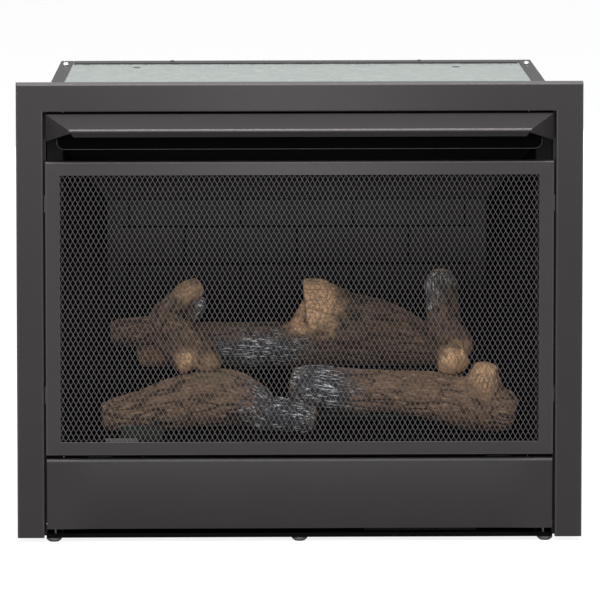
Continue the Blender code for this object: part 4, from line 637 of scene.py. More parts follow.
def hood_skin():
    """The canopy: a sheet whose section runs flat, down the slope and over the lip, narrowing
    from the back to the lip, and two end walls that follow its edge."""
    sheet = bpy.context.scene.fireplace_sheet
    low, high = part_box("hood")
    drop, lip_height, tuck, taper, lip_taper = (size * MM for size in (14.1, 10.5, 8.5, 31, 36.5))
    back, fold, t = high.y, FACE_Y, sheet.thickness
    front_top = high.z - drop
    lip_low = front_top - lip_height
    half_back, half_front, half_lip = high.x, high.x - taper, high.x - lip_taper
    corners = ((back, high.z), (fold, high.z), (low.y, front_top), (low.y + tuck, lip_low),
               (low.y + tuck + t, lip_low + 0.3 * t), (low.y + 1.3 * t, front_top - t * 1.1),
               (fold, high.z - t), (back, high.z - t))
    bend, cut = sheet.hood_bend, sheet.cut_edge
    section = rounded_loop(corners, (cut, 3 * bend, bend, cut, cut, cut, 3 * bend, cut))
    half = np.interp(section[:, 0], (low.y, fold), (half_front, half_back))
    lip = np.clip((front_top - bend - section[:, 1]) / (front_top - bend - lip_low), 0, 1)
    lip_part = section[:, 1] < front_top - 0.5 * bend
    half = np.where(lip_part, half_front + (half_lip - half_front) * lip, half)
    edge = 0.4 * MM
    across = np.stack((-half, edge - half, half - edge, half))
    parts = [capped_loops(stacked(across, *section.T))]
    for side in (-1, 1):
        depth = np.array((back, back - edge, fold, fold - edge, low.y + 2 * t, low.y + 1.4 * t))
        reach = np.interp(depth, (low.y, fold), (half_front, half_back)) - 0.05 * MM
        top = np.interp(depth, (low.y, fold), (front_top, high.z)) - 0.4 * t
        bottom = np.interp(depth, (low.y, fold), (front_top - 3.2 * t, low.z))
        wall = [stacked(side * (reach - inset), depth, level) for inset, level in (
            (0, top), (0, bottom + edge), (edge / 2, bottom), (t, bottom), (t, top))]
        parts.append(capped_loops(np.stack(wall, axis=1)))
    piece = add_piece("hood_skin", merged(*parts), "casing", "coat", ("hood",))
    # Painted highlight, with a rubbed gloss, along the fold at the hood's front.
    rubbed = np.zeros(len(piece.data.vertices))
    rubbed[:across.size] = np.tile(bend_rub_and_highlight(8, {2: 1.0}), len(across))
    give(piece, "rubbed", rubbed)


def baffle_skin():
    """The deflector: rings that follow its outline with round lower corners, from the flange's
    back edge over the bend to the flat face, with a second skin one sheet inside."""
    sheet = bpy.context.scene.fireplace_sheet
    low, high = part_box("hood_baffle")
    bend, t = 1.2 * MM, sheet.thickness * 0.8
    corner = 10 * MM
    angle = np.radians(np.linspace(180, 270, 9))
    profile = [(0.0, high.y)]
    profile += [(bend * (1 - math.cos(turn)), low.y + bend * (1 - math.sin(turn)))
                for turn in np.radians(np.linspace(0, 90, 6))]
    profile += [(bend + 0.3 * MM, low.y)]
    inner = [(inset + t * (inset < bend), max(depth, low.y + t)) for inset, depth in profile[::-1]]
    rings = np.stack([outline_ring(low, high, corner, inset, depth, angle)
                      for inset, depth in profile + inner])
    count, length = rings.shape[:2]
    faces = grid_faces(count, length, True, False)
    front, rear = len(profile) - 1, len(profile)
    left = np.arange(length // 2)
    for row in (front, rear):
        near = row * length + left
        far = row * length + length - 1 - left
        cap = stacked(near[:-1], near[1:], far[1:], far[:-1])
        faces += (cap if row == front else cap[:, ::-1]).tolist()
    ends = [[row * length + place for row in range(count)] for place in (0, length - 1)]
    faces += [ends[0], ends[1][::-1]]
    add_piece("baffle_skin", (rings.reshape(-1, 3), faces), "casing", "paint",
              ("hood_baffle",))


def outline_ring(low, high, corner, inset, depth, angle):
    """The baffle's outline from its top left, round the lower corners, to its top right."""
    radius = max(corner - inset, 0.2 * MM)
    centre = np.array((high.x - corner, low.z + corner))
    arc = stacked(centre[0] - radius * np.cos(angle), centre[1] + radius * np.sin(angle))[::-1]
    left = arc[::-1] * (-1, 1)
    top = np.array(((inset - high.x, high.z), (high.x - inset, high.z)))
    flat = np.concatenate((top[:1], left, arc, top[1:]))
    return stacked(flat[:, 0], depth, flat[:, 1])


def screen_frame_skin():
    """The screen's frame: an angle section carried round a rectangle, its face as wide as each
    bar and leaning forward a little at its outer edge."""
    sheet = bpy.context.scene.fireplace_sheet
    low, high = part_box("screen_frame")
    t, bend, cut = sheet.thickness, 1.5 * MM, sheet.cut_edge
    bar, side_bar = 17.5 * MM, 19.0 * MM
    depth = high.y - low.y
    lean = 0.4 * MM
    corners = ((0, depth), (0, lean), (-bar, 0), (-bar, t), (-t, t + lean), (-t, depth))
    section = rounded_loop(corners, (cut, bend, cut, cut, cut, cut))
    places = np.array([(x, low.y, z) for x, z in ((low.x, low.z), (low.x, high.z),
                                                  (high.x, high.z), (high.x, low.z))])
    outward = np.array([(x * side_bar / bar, 0, z) for x, z in ((-1, -1), (-1, 1), (1, 1), (1, -1))])
    places = np.concatenate((places, places[:1]))
    outward = np.concatenate((outward, outward[:1]))
    rows, arrows = path_with_supports(places, outward)
    piece = add_piece("screen_frame_skin", carried(section, rows[:-1], arrows[:-1], True), "screen",
                      "frame", ("screen_frame",))
    # Painted highlight, with a rubbed gloss, along the face's outer fold and its inner edge.
    give(piece, "rubbed", bend_rub_and_highlight(6, {1: 0.45, 2: 0.4}))


def expanded_metal():
    """The net.  Holes lie on a diamond lattice, each with six corners: a tip above and below and
    an upright bond at either side.  Strands join the facing edges of two holes, knuckles join
    four.  A hole's right side stands forward and its left side back, so every strand leans."""
    sheet = bpy.context.scene.fireplace_sheet
    low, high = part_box("screen_mesh")
    lap, under_bars = 8 * MM, 7.2 * MM
    window_low, window_high = low.z + lap, high.z - lap
    window_half = high.x - lap
    columns = round(2 * window_half / sheet.diamond_width)
    rows = round((window_high - window_low) / sheet.diamond_height * 2) / 2
    half_x = window_half / columns
    half_z = (window_high - window_low) / rows / 2
    slope = math.hypot(half_x, half_z)
    reach_x = half_x - sheet.strand / 2 * slope / half_z
    reach_z = half_z - sheet.strand / 2 * slope / half_x
    bond = 0.10 * half_z
    across, upward = np.meshgrid(np.arange(-2, 2 * columns + 3), np.arange(-1, int(2 * rows) + 2),
                                 indexing="ij")
    there = (across + upward) % 2 == 1
    there &= np.abs(across * half_x - window_half) <= window_half + under_bars - half_x
    number = np.where(there, np.cumsum(there.ravel()).reshape(there.shape) - 1, -1)
    x = across[there] * half_x - window_half
    z = window_low + upward[there] * half_z
    six = np.array(((0, reach_z, 0), (reach_x, bond, -1), (reach_x, -bond, -1),
                    (0, -reach_z, 0), (-reach_x, -bond, 1), (-reach_x, bond, 1)))
    depth = low.y + 0.4 * MM + six[:, 2] * sheet.strand_tilt / 2
    points = stacked(x[:, None] + six[:, 0], np.broadcast_to(depth, (len(x), 6)),
                     z[:, None] + six[:, 1]).reshape(-1, 3)

    def hole(step_x, step_z):
        """The number of each hole's neighbour some steps away, or -1."""
        padded = np.pad(number, 2, constant_values=-1)
        wide, tall = number.shape
        return padded[2 + step_x:2 + step_x + wide, 2 + step_z:2 + step_z + tall]

    def quads(*corners):
        """Quads whose corners are (hole numbers, corner of the hole), where all the holes exist."""
        exist = np.all([holes >= 0 for holes, corner in corners], axis=0)
        return np.stack([holes[exist] * 6 + corner for holes, corner in corners], axis=-1)

    here, right, below = hole(0, 0), hole(2, 0), hole(1, -1)
    above = hole(1, 1)
    flat = np.concatenate((
        quads((here, 0), (above, 4), (above, 3), (here, 1)),
        quads((here, 2), (below, 0), (below, 5), (here, 3)),
        quads((here, 1), (above, 3), (below, 0), (here, 2)),
        quads((above, 3), (right, 5), (right, 4), (below, 0))))
    edges = stacked(flat, np.roll(flat, -1, axis=1)).reshape(-1, 2)
    key = edges.min(1) * len(points) + edges.max(1)
    _, where, times = np.unique(key, return_index=True, return_counts=True)
    rim = edges[where[times == 1]]
    count = len(points)
    thick = points + BACK * 0.8 * MM
    walls = stacked(rim[:, 1], rim[:, 0], rim[:, 0] + count, rim[:, 1] + count)
    faces = np.concatenate((flat, flat[:, ::-1] + count, walls)).tolist()
    # Its finish is the coat made paler, a painted sheen on the strands.
    add_piece("expanded_metal", (np.concatenate((points, thick)), faces), "screen",
              "net", ("screen_mesh",))


def bare_plate():
    """The plain plate behind the net's lower left corner, with its rounded corners."""
    middle, half, corner = -231.5 * MM, 21 * MM, 1.2 * MM
    mesh_low, mesh_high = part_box("screen_mesh")
    low, high = mesh_low.z - 1 * MM, mesh_low.z + 12.6 * MM
    outline = rounded_loop(((-half, low), (half, low), (half, high), (-half, high)), corner)
    depth = mesh_high.y + 0.5 * MM
    rings = [stacked(outline[:, 0] * share + middle, depth + step, outline[:, 1])
             for share, step in ((0.99, 0.0), (1.0, 0.1 * MM), (1.0, 0.7 * MM), (0.99, 0.8 * MM))]
    add_piece("bare_plate", capped_loops(np.stack(rings)), "screen", "dulled")


def crown(section, low, high):
    """A door's section with more points along its face, and how far each is pressed back to a
    shallow crown: sagitta * u * u, with u from -1 at the lower edge to 1 at the top bend."""
    sagitta, longest, face_depth = 2.2 * MM, 6 * MM, 4 * MM
    rows = []
    for start, end in zip(section, np.roll(section, -1, axis=0)):
        count = max(1, int(abs(end[1] - start[1]) / longest))
        rows.append(start + (end - start) * np.arange(count)[:, None] / count)
    section = np.concatenate(rows)
    u = (section[:, 1] - (low.z + high.z) / 2) / ((high.z - low.z) / 2)
    face = section[:, 0] < low.y + face_depth
    return section, np.where(face, sagitta * u * u, 0)


def door_skin():
    """The lower door: its section of face and rounded top bend, and an end wall at either side.
    The face is flat at its ends, where the hinges hold it, and the crown grows from there by the
    eased weight s * s * (3 - 2s)."""
    sheet = bpy.context.scene.fireplace_sheet
    low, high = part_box("lower_door")
    t, bend, cut, edge = sheet.thickness, 4.5 * MM, sheet.cut_edge, 0.4 * MM
    corners = ((low.y, low.z), (low.y, high.z), (high.y, high.z), (high.y, high.z - t),
               (low.y + t, high.z - t), (low.y + t, low.z))
    section = rounded_loop(corners, (cut, bend, cut, cut, bend - t, cut), 8)
    section, pressed = crown(section, low, high)
    run = np.concatenate(((0, edge), np.linspace(16, 76, 13) * MM))
    across = np.concatenate((low.x + run, high.x - run[::-1]))
    s = np.clip((high.x - np.abs(across) - run[2]) / (run[-1] - run[2]), 0, 1)[:, None]
    parts = [capped_loops(stacked(across[:, None], section[:, 0] + pressed * s * s * (3 - 2 * s),
                                  section[:, 1]))]
    outline = rounded_loop(((low.y + edge, low.z), (low.y + edge, high.z - edge),
                            (high.y, high.z - edge), (high.y, low.z)), (cut, bend - edge, cut, cut), 8)
    for side in (low.x + edge / 4, high.x - edge / 4 - t):
        rings = [stacked(side + step, outline[:, 0], outline[:, 1])
                 for step in (0, t)]
        parts.append(capped_loops(np.stack(rings)))
    add_piece("door_skin", merged(*parts), "door", "coat", ("lower_door",))


def pan_head(name, place, radius, height, replaced=()):
    """A pan head: height * (1 - r^4) on rings, less a cross that fades out at half the radius."""
    share = np.concatenate((np.linspace(0.08, 0.96, 14), (1.0, 1.0)))
    rings = disc_grid(radius * share, height * (1 - share ** 4), 48, (0, 0, 0))
    rings[-1, :, 2] = 0
    rings[-2, :, 2] = height * 0.12
    x, y = rings[..., 0] / radius, rings[..., 1] / radius
    arm = np.minimum(np.abs(x), np.abs(y)) < 0.13
    slot_depth = np.clip(1.3 - share[:, None] * 2.2, 0, 1) * arm
    rings[..., 2] -= slot_depth * height * 0.65
    rings += np.asarray(place)
    pole = np.asarray(place) + UP * height * 0.35
    add_piece(name, capped_rings(rings, pole, place), "casing", "screw", replaced, 50.0)


def cement_beads():
    """A bead of furnace cement up each side, where the firebox lining meets its post: a circle
    carried straight up, its radius rippling by a tenth."""
    for side in ("left", "right"):
        low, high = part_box("firebox_side_wall_" + side)
        post_low, post_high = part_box("front_post_" + side)
        wall, post = (low.x, post_high.x) if side == "left" else (high.x, post_low.x)
        place = ((wall + post) / 2, low.y + 1.0 * MM, 0)
        levels = np.linspace(low.z + 1 * MM, min(high.z, post_high.z) - 1 * MM, 120)
        ripple = 1 + 0.1 * np.sin(levels * 410) * np.sin(levels * 173)
        radius = (abs(wall - post) / 2 + 0.25 * MM) * ripple
        add_piece("cement_bead_" + side, capped_rings(disc_grid(radius, levels, 8, place)),
                  "casing", "paint")


def brick_lining():
    """The rear wall, pressed with a running bond of bricks.  Its depth is that of the face plus
    groove * (1 + cos(pi * t)) / 2, where t is the distance to the nearest joint over the joint's
    half width, and the back of the sheet follows its front."""
    low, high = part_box("firebox_rear_wall")
    brick, course, top_line, reach = 147.5 * MM, 49.6 * MM, 378.0 * MM, 231 * MM
    groove, half = 1.4 * MM, 2.4 * MM
    near = np.linspace(-1, 1, 9) * half
    lines = top_line - course * np.arange(6)
    joints = np.arange(-3, 4) * brick / 2
    x = np.unique(np.concatenate((np.linspace(low.x, high.x, 24), (joints[:, None] + near).ravel(),
                                  (-reach, reach, -reach - half, reach + half))))
    z = np.unique(np.concatenate((np.linspace(low.z, high.z, 18), (lines[:, None] + near).ravel())))
    across, level = np.meshgrid(x, z)
    number = np.floor((top_line - level) / course).astype(int)
    shift = np.where(number % 2 == 0, 0.0, brick / 2)
    to_joint = np.abs((across - shift + brick / 2) % brick - brick / 2)
    to_line = np.abs((level - top_line + course / 2) % course - course / 2)
    to_line = np.where(level > top_line + half, half, to_line)
    to_line = np.hypot(to_line, np.maximum(np.abs(across) - reach, 0))
    to_joint = np.where(np.abs(across) > 1.6 * brick, half, to_joint)
    t = np.clip(np.minimum(to_joint, to_line) / half, 0, 1)
    pressed = (1 + np.cos(math.pi * t)) / 2
    edge = (across == x[0]) | (across == x[-1]) | (level == z[0]) | (level == z[-1])
    depth = low.y + 0.2 * MM + groove * np.where(edge, 0, pressed)
    front = stacked(across, depth, level).reshape(-1, 3)
    back = front + BACK * 0.9 * MM
    rows, columns = across.shape
    face = np.array(grid_faces(rows, columns))
    inside = np.arange(rows * columns).reshape(rows, columns)
    rim = np.concatenate((inside[0], inside[1:, -1], inside[-1, -2::-1], inside[-2:0:-1, 0]))
    after = np.roll(rim, -1)
    count = len(front)
    walls = stacked(rim, after, after + count, rim + count)
    faces = np.concatenate((face[:, ::-1], face + count, walls)).tolist()
    piece = add_piece("brick_lining", (np.concatenate((front, back)), faces), "casing",
                      "lining", ("firebox_rear_wall",))
    # The lining's finish darkens the joints from this share, a painted shade.
    give(piece, "joint", pressed)


def baffle_hem():
    """The rolled hem along the deflector's lower edge: a circle carried round its outline."""
    low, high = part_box("hood_baffle")
    radius = 0.5 * MM
    angle = np.radians(np.linspace(180, 270, 9))
    outline = outline_ring(low, high, 10 * MM, radius, low.y + radius, angle)[1:-1]
    start, end = outline[:1] + UP * 4 * MM, outline[-1:] + UP * 4 * MM
    path = np.concatenate((start, outline, end))
    side = np.cross(unit(np.gradient(path, axis=0)), BACK)
    turn = circle(10)
    rings = path[:, None] + radius * (np.cos(turn)[None, :, None] * side[:, None]
                                      + np.sin(turn)[None, :, None] * BACK)
    # The hem takes the net's paler coat, a painted highlight along the deflector's lower edge.
    add_piece("baffle_hem", capped_rings(rings), "casing", "net")


def top_screws():
    """The two screws of the top and the two rivet heads on its back flange, each a dome: rings
    of radius * share at height * fall."""
    for side in ("left", "right"):
        node = "top_screw_" + side
        low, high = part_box(node)
        middle = (low + high) / 2
        pan_head(node + "_head", (middle.x, middle.y, low.z), (high.x - low.x) / 2,
                 high.z - low.z, (node,))
    low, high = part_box("back_panel")
    radius, height = 3.2 * MM, 1.6 * MM
    share = np.array((0.3, 0.55, 0.8, 0.95, 1.0, 1.0))
    fall = np.array((0.97, 0.86, 0.6, 0.32, 0.1, 0.0))
    for name, side in (("left", -1), ("right", 1)):
        place = np.array((side * 163 * MM, high.y - 6 * MM, high.z))
        rings = disc_grid(radius * share, height * fall, 24, place)
        add_piece("flange_rivet_" + name, capped_rings(rings, place + UP * height, place), "casing",
                  "coat")


def control_marks():
    """Dial marks round the knob: short bars that swell toward full flame, on the panel's face."""
    low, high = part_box("control_knob")
    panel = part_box("control_panel")[0].y
    middle = (low + high) / 2
    outer, count = (high.x - low.x) / 2 + 3 * MM, 9
    parts = []
    for step in range(count):
        angle = math.radians(90 - 240 * step / (count - 1))
        along = np.array((math.cos(angle), 0, math.sin(angle)))
        side = np.array((-math.sin(angle), 0, math.cos(angle)))
        half, length = (0.25 + 0.09 * step) * MM, (2.4 + 0.25 * step) * MM
        outline = rounded_loop(((0, -half), (length, -half), (length, half), (0, half)),
                               0.2 * MM, 3, 0.02 * MM)
        base = np.array((middle.x, panel, middle.z)) + along * outer
        ring = base + outline[:, :1] * along + outline[:, 1:] * side
        parts.append(capped_loops(np.stack((ring - BACK * 0.08 * MM, ring + BACK * 0.02 * MM))))
    add_piece("dial_marks", merged(*parts), "casing", "ink")


def knob_skin():
    """The knob: a round body whose radius ripples with the finger flutes, and a raised grip."""
    low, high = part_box("control_knob")
    middle = (low + high) / 2
    place = np.array((middle.x, 0, middle.z))
    outer = (high.x - low.x) / 2
    length = high.y - low.y
    depth = np.array((0.11, 0.12, 0.45, 0.74, 0.78, 0.80, 0.97, 1.0))[:, None] * length
    radius = np.array((0.72, 0.78, 0.83, 0.87, 0.90, 0.98, 1.0, 0.97))[:, None] * outer
    angle = circle(144)
    flute = 0.5 * MM * np.abs(np.cos(9 * angle)) ** 3
    body = np.array((0, 1, 1, 1, 0.3, 0, 0, 0))[:, None]
    reach = radius - flute * body
    rings = stacked(reach * np.cos(angle), low.y + depth, reach * np.sin(angle)) + place
    half, tall, proud = 3.5 * MM, radius[0, 0], 0.11 * length
    outline = rounded_loop(((-half, -tall), (half, -tall), (half, tall), (-half, tall)), 1.6 * MM)
    steps = ((0.80, 0.0), (0.95, 0.1), (1.0, 0.35), (1.0, 1.6))
    grip = np.stack([stacked(outline[:, 0] * share, low.y + proud * step,
                             outline[:, 1] * (0.8 + 0.2 * share)) + place
                     for share, step in steps])
    add_piece("knob_skin", merged(capped_rings(rings), capped_rings(grip)), "knob",
              "plastic", ("control_knob",))
    line = rounded_loop(((-0.5 * MM, 2 * MM), (0.5 * MM, 2 * MM), (0.5 * MM, tall - 3 * MM),
                         (-0.5 * MM, tall - 3 * MM)), 0.3 * MM, 3, 0.02 * MM)
    rings = np.stack([stacked(line[:, 0], low.y + step, line[:, 1]) + place
                      for step in (-0.05 * MM, 0.05 * MM)])
    add_piece("knob_pointer", capped_rings(rings), "knob", "ink")


def burner_ports():
    """Ports along the burner's top: small rings painted black, a painted shade for each dark
    bore, in a row that leans forward from the tube's crest."""
    low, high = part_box("burner_tube")
    radius, first, last, pitch = 11 * MM, 14 * MM, 13 * MM, 8 * MM
    axis_y, axis_z = (low.y + high.y) / 2, high.z - radius
    lean = math.radians(35)
    out = np.array((0, -math.sin(lean), math.cos(lean)))
    side = np.array((0, math.cos(lean), math.sin(lean)))
    parts = []
    angle = circle(10)
    ring = np.array((1.5, 1.35, 0.9, 0.8)) * MM
    rise = np.array((-0.15, 0.12, 0.12, -0.6)) * MM
    for x in np.arange(low.x + first, high.x - last, pitch):
        place = np.array((x, axis_y, axis_z)) + out * radius
        rings = (place + ring[:, None, None] * (np.cos(angle)[:, None] * np.array((1.0, 0, 0))
                                                + np.sin(angle)[:, None] * side)
                 + rise[:, None, None] * out)
        parts.append(capped_rings(rings))
    add_piece("burner_ports", merged(*parts), "casing", "paint")


# Logs
LOG_RADIUS = 40 * MM
PILE_HEIGHT = 200 * MM
BED_DEPTH = 200 * MM
BED_FROM_POST = 27 * MM

# Each row: place across the half bed, back from the surround, up from the grate, and radius.
REAR_LOG_SHARES = (
    (-0.741, 0.875, 0.413, 0.36), (-0.690, 0.875, 0.445, 0.54), (-0.500, 0.875, 0.490, 0.74),
    (-0.215, 0.875, 0.496, 0.76), (0.055, 0.875, 0.496, 0.76), (0.150, 0.875, 0.498, 0.76),
    (0.270, 0.875, 0.510, 0.50))
STUMP_SHARES = (
    (0.048, 0.875, 0.637, 1.46), (0.070, 0.875, 0.640, 1.49), (0.120, 0.875, 0.630, 1.44),
    (0.200, 0.875, 0.609, 1.34), (0.387, 0.875, 0.569, 1.14), (0.551, 0.875, 0.509, 0.84),
    (0.625, 0.875, 0.485, 0.72), (0.705, 0.875, 0.467, 0.57), (0.750, 0.875, 0.447, 0.36))
STUMP_FLATNESS_SHARES = (0.50, 0.66)
STUMP_FOOT_SHARES = (
    (-0.035, 0.875, 0.600, 0.16), (-0.005, 0.875, 0.640, 0.24), (0.022, 0.875, 0.690, 0.26),
    (0.048, 0.875, 0.770, 0.20))
LEFT_FRONT_SHARES = (
    (-0.915, 0.415, 0.108, 0.42), (-0.880, 0.420, 0.112, 0.52), (-0.835, 0.430, 0.121, 0.59),
    (-0.720, 0.450, 0.140, 0.69), (-0.648, 0.460, 0.160, 0.80), (-0.461, 0.475, 0.205, 0.96),
    (-0.298, 0.470, 0.215, 0.92), (-0.215, 0.460, 0.170, 0.76), (-0.150, 0.450, 0.118, 0.62),
    (-0.064, 0.440, 0.105, 0.58), (0.029, 0.430, 0.088, 0.52), (0.076, 0.420, 0.078, 0.46))
LEFT_KNOT_SHARES = (
    (-0.470, 0.465, 0.240, 0.72), (-0.400, 0.460, 0.268, 0.78), (-0.330, 0.460, 0.255, 0.74),
    (-0.270, 0.460, 0.220, 0.64))
RIGHT_FRONT_SHARES = (
    (-0.034, 0.510, 0.312, 0.52), (0.020, 0.508, 0.300, 0.66), (0.193, 0.495, 0.262, 0.76),
    (0.473, 0.490, 0.250, 0.76), (0.600, 0.470, 0.235, 0.81), (0.707, 0.450, 0.209, 0.89),
    (0.847, 0.420, 0.169, 0.87), (0.930, 0.400, 0.150, 0.78), (0.980, 0.385, 0.128, 0.68),
    (1.010, 0.380, 0.116, 0.52))
RIGHT_KNOT_SHARES = (
    (0.845, 0.430, 0.150, 0.90), (0.852, 0.400, 0.255, 0.82), (0.861, 0.360, 0.350, 0.62),
    (0.866, 0.335, 0.400, 0.50), (0.868, 0.320, 0.440, 0.43))
LEFT_BRANCH_SHARES = (
    (-0.462, 0.860, 0.895, 0.30), (-0.490, 0.845, 0.872, 0.40), (-0.563, 0.800, 0.783, 0.46),
    (-0.634, 0.720, 0.683, 0.52), (-0.610, 0.600, 0.600, 0.49), (-0.578, 0.540, 0.545, 0.46),
    (-0.508, 0.455, 0.440, 0.42))
LEFT_ARM_SHARES = (
    (-0.610, 0.700, 0.650, 0.46), (-0.694, 0.700, 0.628, 0.49), (-0.800, 0.700, 0.616, 0.47),
    (-0.845, 0.700, 0.610, 0.45), (-0.874, 0.700, 0.608, 0.38))
LEFT_LEG_SHARES = (
    (-0.628, 0.700, 0.679, 0.46), (-0.560, 0.630, 0.630, 0.49), (-0.503, 0.570, 0.584, 0.51),
    (-0.446, 0.500, 0.500, 0.49), (-0.408, 0.455, 0.440, 0.42), (-0.396, 0.440, 0.420, 0.32))
LEFT_SPLINTER_SHARES = (
    (-0.436, 0.830, 0.815, 0.10), (-0.450, 0.830, 0.790, 0.20), (-0.480, 0.825, 0.720, 0.24),
    (-0.510, 0.815, 0.660, 0.16))
RIGHT_BRANCH_SHARES = (
    (0.672, 0.862, 0.972, 0.40), (0.672, 0.850, 0.945, 0.52), (0.676, 0.800, 0.850, 0.57),
    (0.682, 0.720, 0.720, 0.59), (0.690, 0.620, 0.640, 0.59), (0.700, 0.540, 0.574, 0.60),
    (0.727, 0.410, 0.444, 0.56))
RIGHT_BRANCH_KNOT_SHARES = (
    (0.700, 0.590, 0.610, 0.56), (0.735, 0.520, 0.560, 0.60), (0.753, 0.470, 0.522, 0.54))


def value_noise(points, seed):
    """Random numbers at whole places, blended by the eased weight t*t*(3 - 2t) between them."""
    table = np.random.default_rng(seed).random((32, 32, 32))
    base = np.floor(points).astype(int)
    part = points - base
    part = part * part * (3 - 2 * part)
    total = 0
    for corner in itertools.product((0, 1), repeat=3):
        index = (base + corner) % 32
        weight = np.prod(np.where(corner, part, 1 - part), axis=-1)
        total = total + weight * table[index[..., 0], index[..., 1], index[..., 2]]
    return total


def log_rows(shares):
    """A log's spine and radii in metres, from its shares of the bed."""
    shares = np.array(shares)
    bed_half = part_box("front_post_right")[0].x - BED_FROM_POST
    grate_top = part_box("front_log_grate")[1].z
    return stacked(shares[:, 0] * bed_half, FACE_Y + shares[:, 1] * BED_DEPTH,
                   grate_top + shares[:, 2] * PILE_HEIGHT, shares[:, 3] * LOG_RADIUS)


def smooth_rows(rows, step):
    """Rows read every step along a cubic through the given ones, whose slope at each row is
    that from the row before to the row after."""
    gaps = np.linalg.norm(np.diff(rows[:, :3], axis=0), axis=1)
    along = np.concatenate(([0], np.cumsum(gaps)))
    slope = np.gradient(rows, along, axis=0)
    places = np.linspace(0, along[-1], max(4, int(along[-1] / step)))
    cell = np.clip(np.searchsorted(along, places, side="right") - 1, 0, len(gaps) - 1)
    span = gaps[cell][:, None]
    t = ((places - along[cell]) / gaps[cell])[:, None]
    return places, ((2 * t ** 3 - 3 * t ** 2 + 1) * rows[cell]
                    + (t ** 3 - 2 * t ** 2 + t) * span * slope[cell]
                    + (3 * t ** 2 - 2 * t ** 3) * rows[cell + 1]
                    + (t ** 3 - t ** 2) * span * slope[cell + 1])


def bark_tube(shares, seed, flatness=1.0, dome=0.10, cut=1.0):
    """One limb: place + r * (cos * side + sin * rise) along its spine, r less the bark's cracks,
    with cut ends on shrinking rings that stand out by dome * r * (1 - share^2).  Flatness is the
    depth over the height, one number or one for each end.  Gives the shape, the bark's height
    from 0 to 1, where the cut ends are, and each point's place in the wood."""
    settings = bpy.context.scene.fireplace_logs
    places, rows = smooth_rows(log_rows(shares), settings.step)
    spine, radius = rows[:, :3], rows[:, 3]
    along = unit(np.gradient(spine, axis=0))
    helper = BACK if abs(along[:, 1]).mean() < 0.5 else np.array((1.0, 0.0, 0.0))
    rise = unit(np.cross(along, helper))
    side = np.cross(rise, along)
    sides = max(24, int(2 * math.pi * radius.max() / settings.step))
    angle = circle(sides)
    ends = np.array((0.06, 0.3, 0.55, 0.8, 0.93))
    grow = np.concatenate((ends, np.ones(len(places)), ends[::-1]))
    pick = np.clip(np.arange(-len(ends), len(places) + len(ends)), 0, len(places) - 1)
    spine, radius, rise, side, along = (a[pick] for a in (spine, radius, rise, side, along))
    places = places[pick]
    # The limb swells and shrinks over 60 mm, its plates drift over 22 mm, and a bark's height
    # joins the plates' cracks with the finer ones between its fibres.
    wave = value_noise(stacked(places[:, None] / 60 / MM, np.cos(angle) * 0.9 + 7,
                               np.sin(angle) * 0.9), seed)
    round_part = stacked(places[:, None], np.cos(angle) * radius[:, None],
                         np.sin(angle) * radius[:, None])
    stretch = np.array((settings.plate_length, settings.plate_width, settings.plate_width))
    drift = value_noise(round_part / (22 * MM) + 40, seed + 1)[..., None] - 0.5
    plates = np.abs(2 * value_noise(round_part / stretch + drift * 2.2 + 90, seed + 2) - 1)
    fibres = np.abs(2 * value_noise(round_part / stretch * 2.7 + drift + 60, seed + 3) - 1)
    height = np.clip(plates / 0.27, 0, 1) * (0.62 + 0.38 * np.clip(fibres / 0.4, 0, 1))
    face = (grow[:, None] >= 1).astype(float)
    height = np.where(face > 0, height, 0.6 + 0.4 * np.clip(fibres / 0.4, 0, 1))
    reach = (radius[:, None] * (0.97 + 0.09 * (wave - 0.5))
             - settings.crack_depth * (1 - height) * face)
    reach = np.maximum(reach, 1.5 * MM) * grow[:, None]
    bulge = (1 - grow[:, None] ** 2) * dome * radius[:, None] - (1 - face) * 0.5 * MM * (1 - height)
    sign = np.where(np.arange(len(pick)) < len(pick) / 2, -1, 1)[:, None, None]
    rings = (spine[:, None] + reach[..., None] * (np.cos(angle)[None, :, None] * side[:, None]
                                                   + np.sin(angle)[None, :, None] * rise[:, None])
             + sign * bulge[..., None] * along[:, None])
    middle = rings[..., 1].mean()
    squeeze = np.linspace(*np.broadcast_to(flatness, 2), len(pick))[:, None]
    rings[..., 1] = middle + (rings[..., 1] - middle) * squeeze
    cut_end = cut * np.broadcast_to(1 - face, height.shape).ravel()
    height = np.concatenate((height.ravel(), (0.8, 0.8)))
    cut_end = np.concatenate((cut_end, (cut, cut)))
    inside = round_part * (1, grow[:, None].min() + 1, 1) + seed
    inside = np.concatenate((inside.reshape(-1, 3), np.full((2, 3), float(seed))))
    return capped_rings(rings), height, cut_end, inside


def zone(points, centre, size, seed, soft=0.5):
    """1 inside an ellipsoid about a centre and 0 outside it, with an edge ragged over 9 mm."""
    far = np.linalg.norm((points - np.asarray(centre)) / np.asarray(size), axis=1)
    ragged = value_noise(points / (9 * MM) + 50, seed) - 0.5
    t = np.clip((1 + soft - far + ragged * 0.6) / (2 * soft), 0, 1)
    return t * t * (3 - 2 * t)


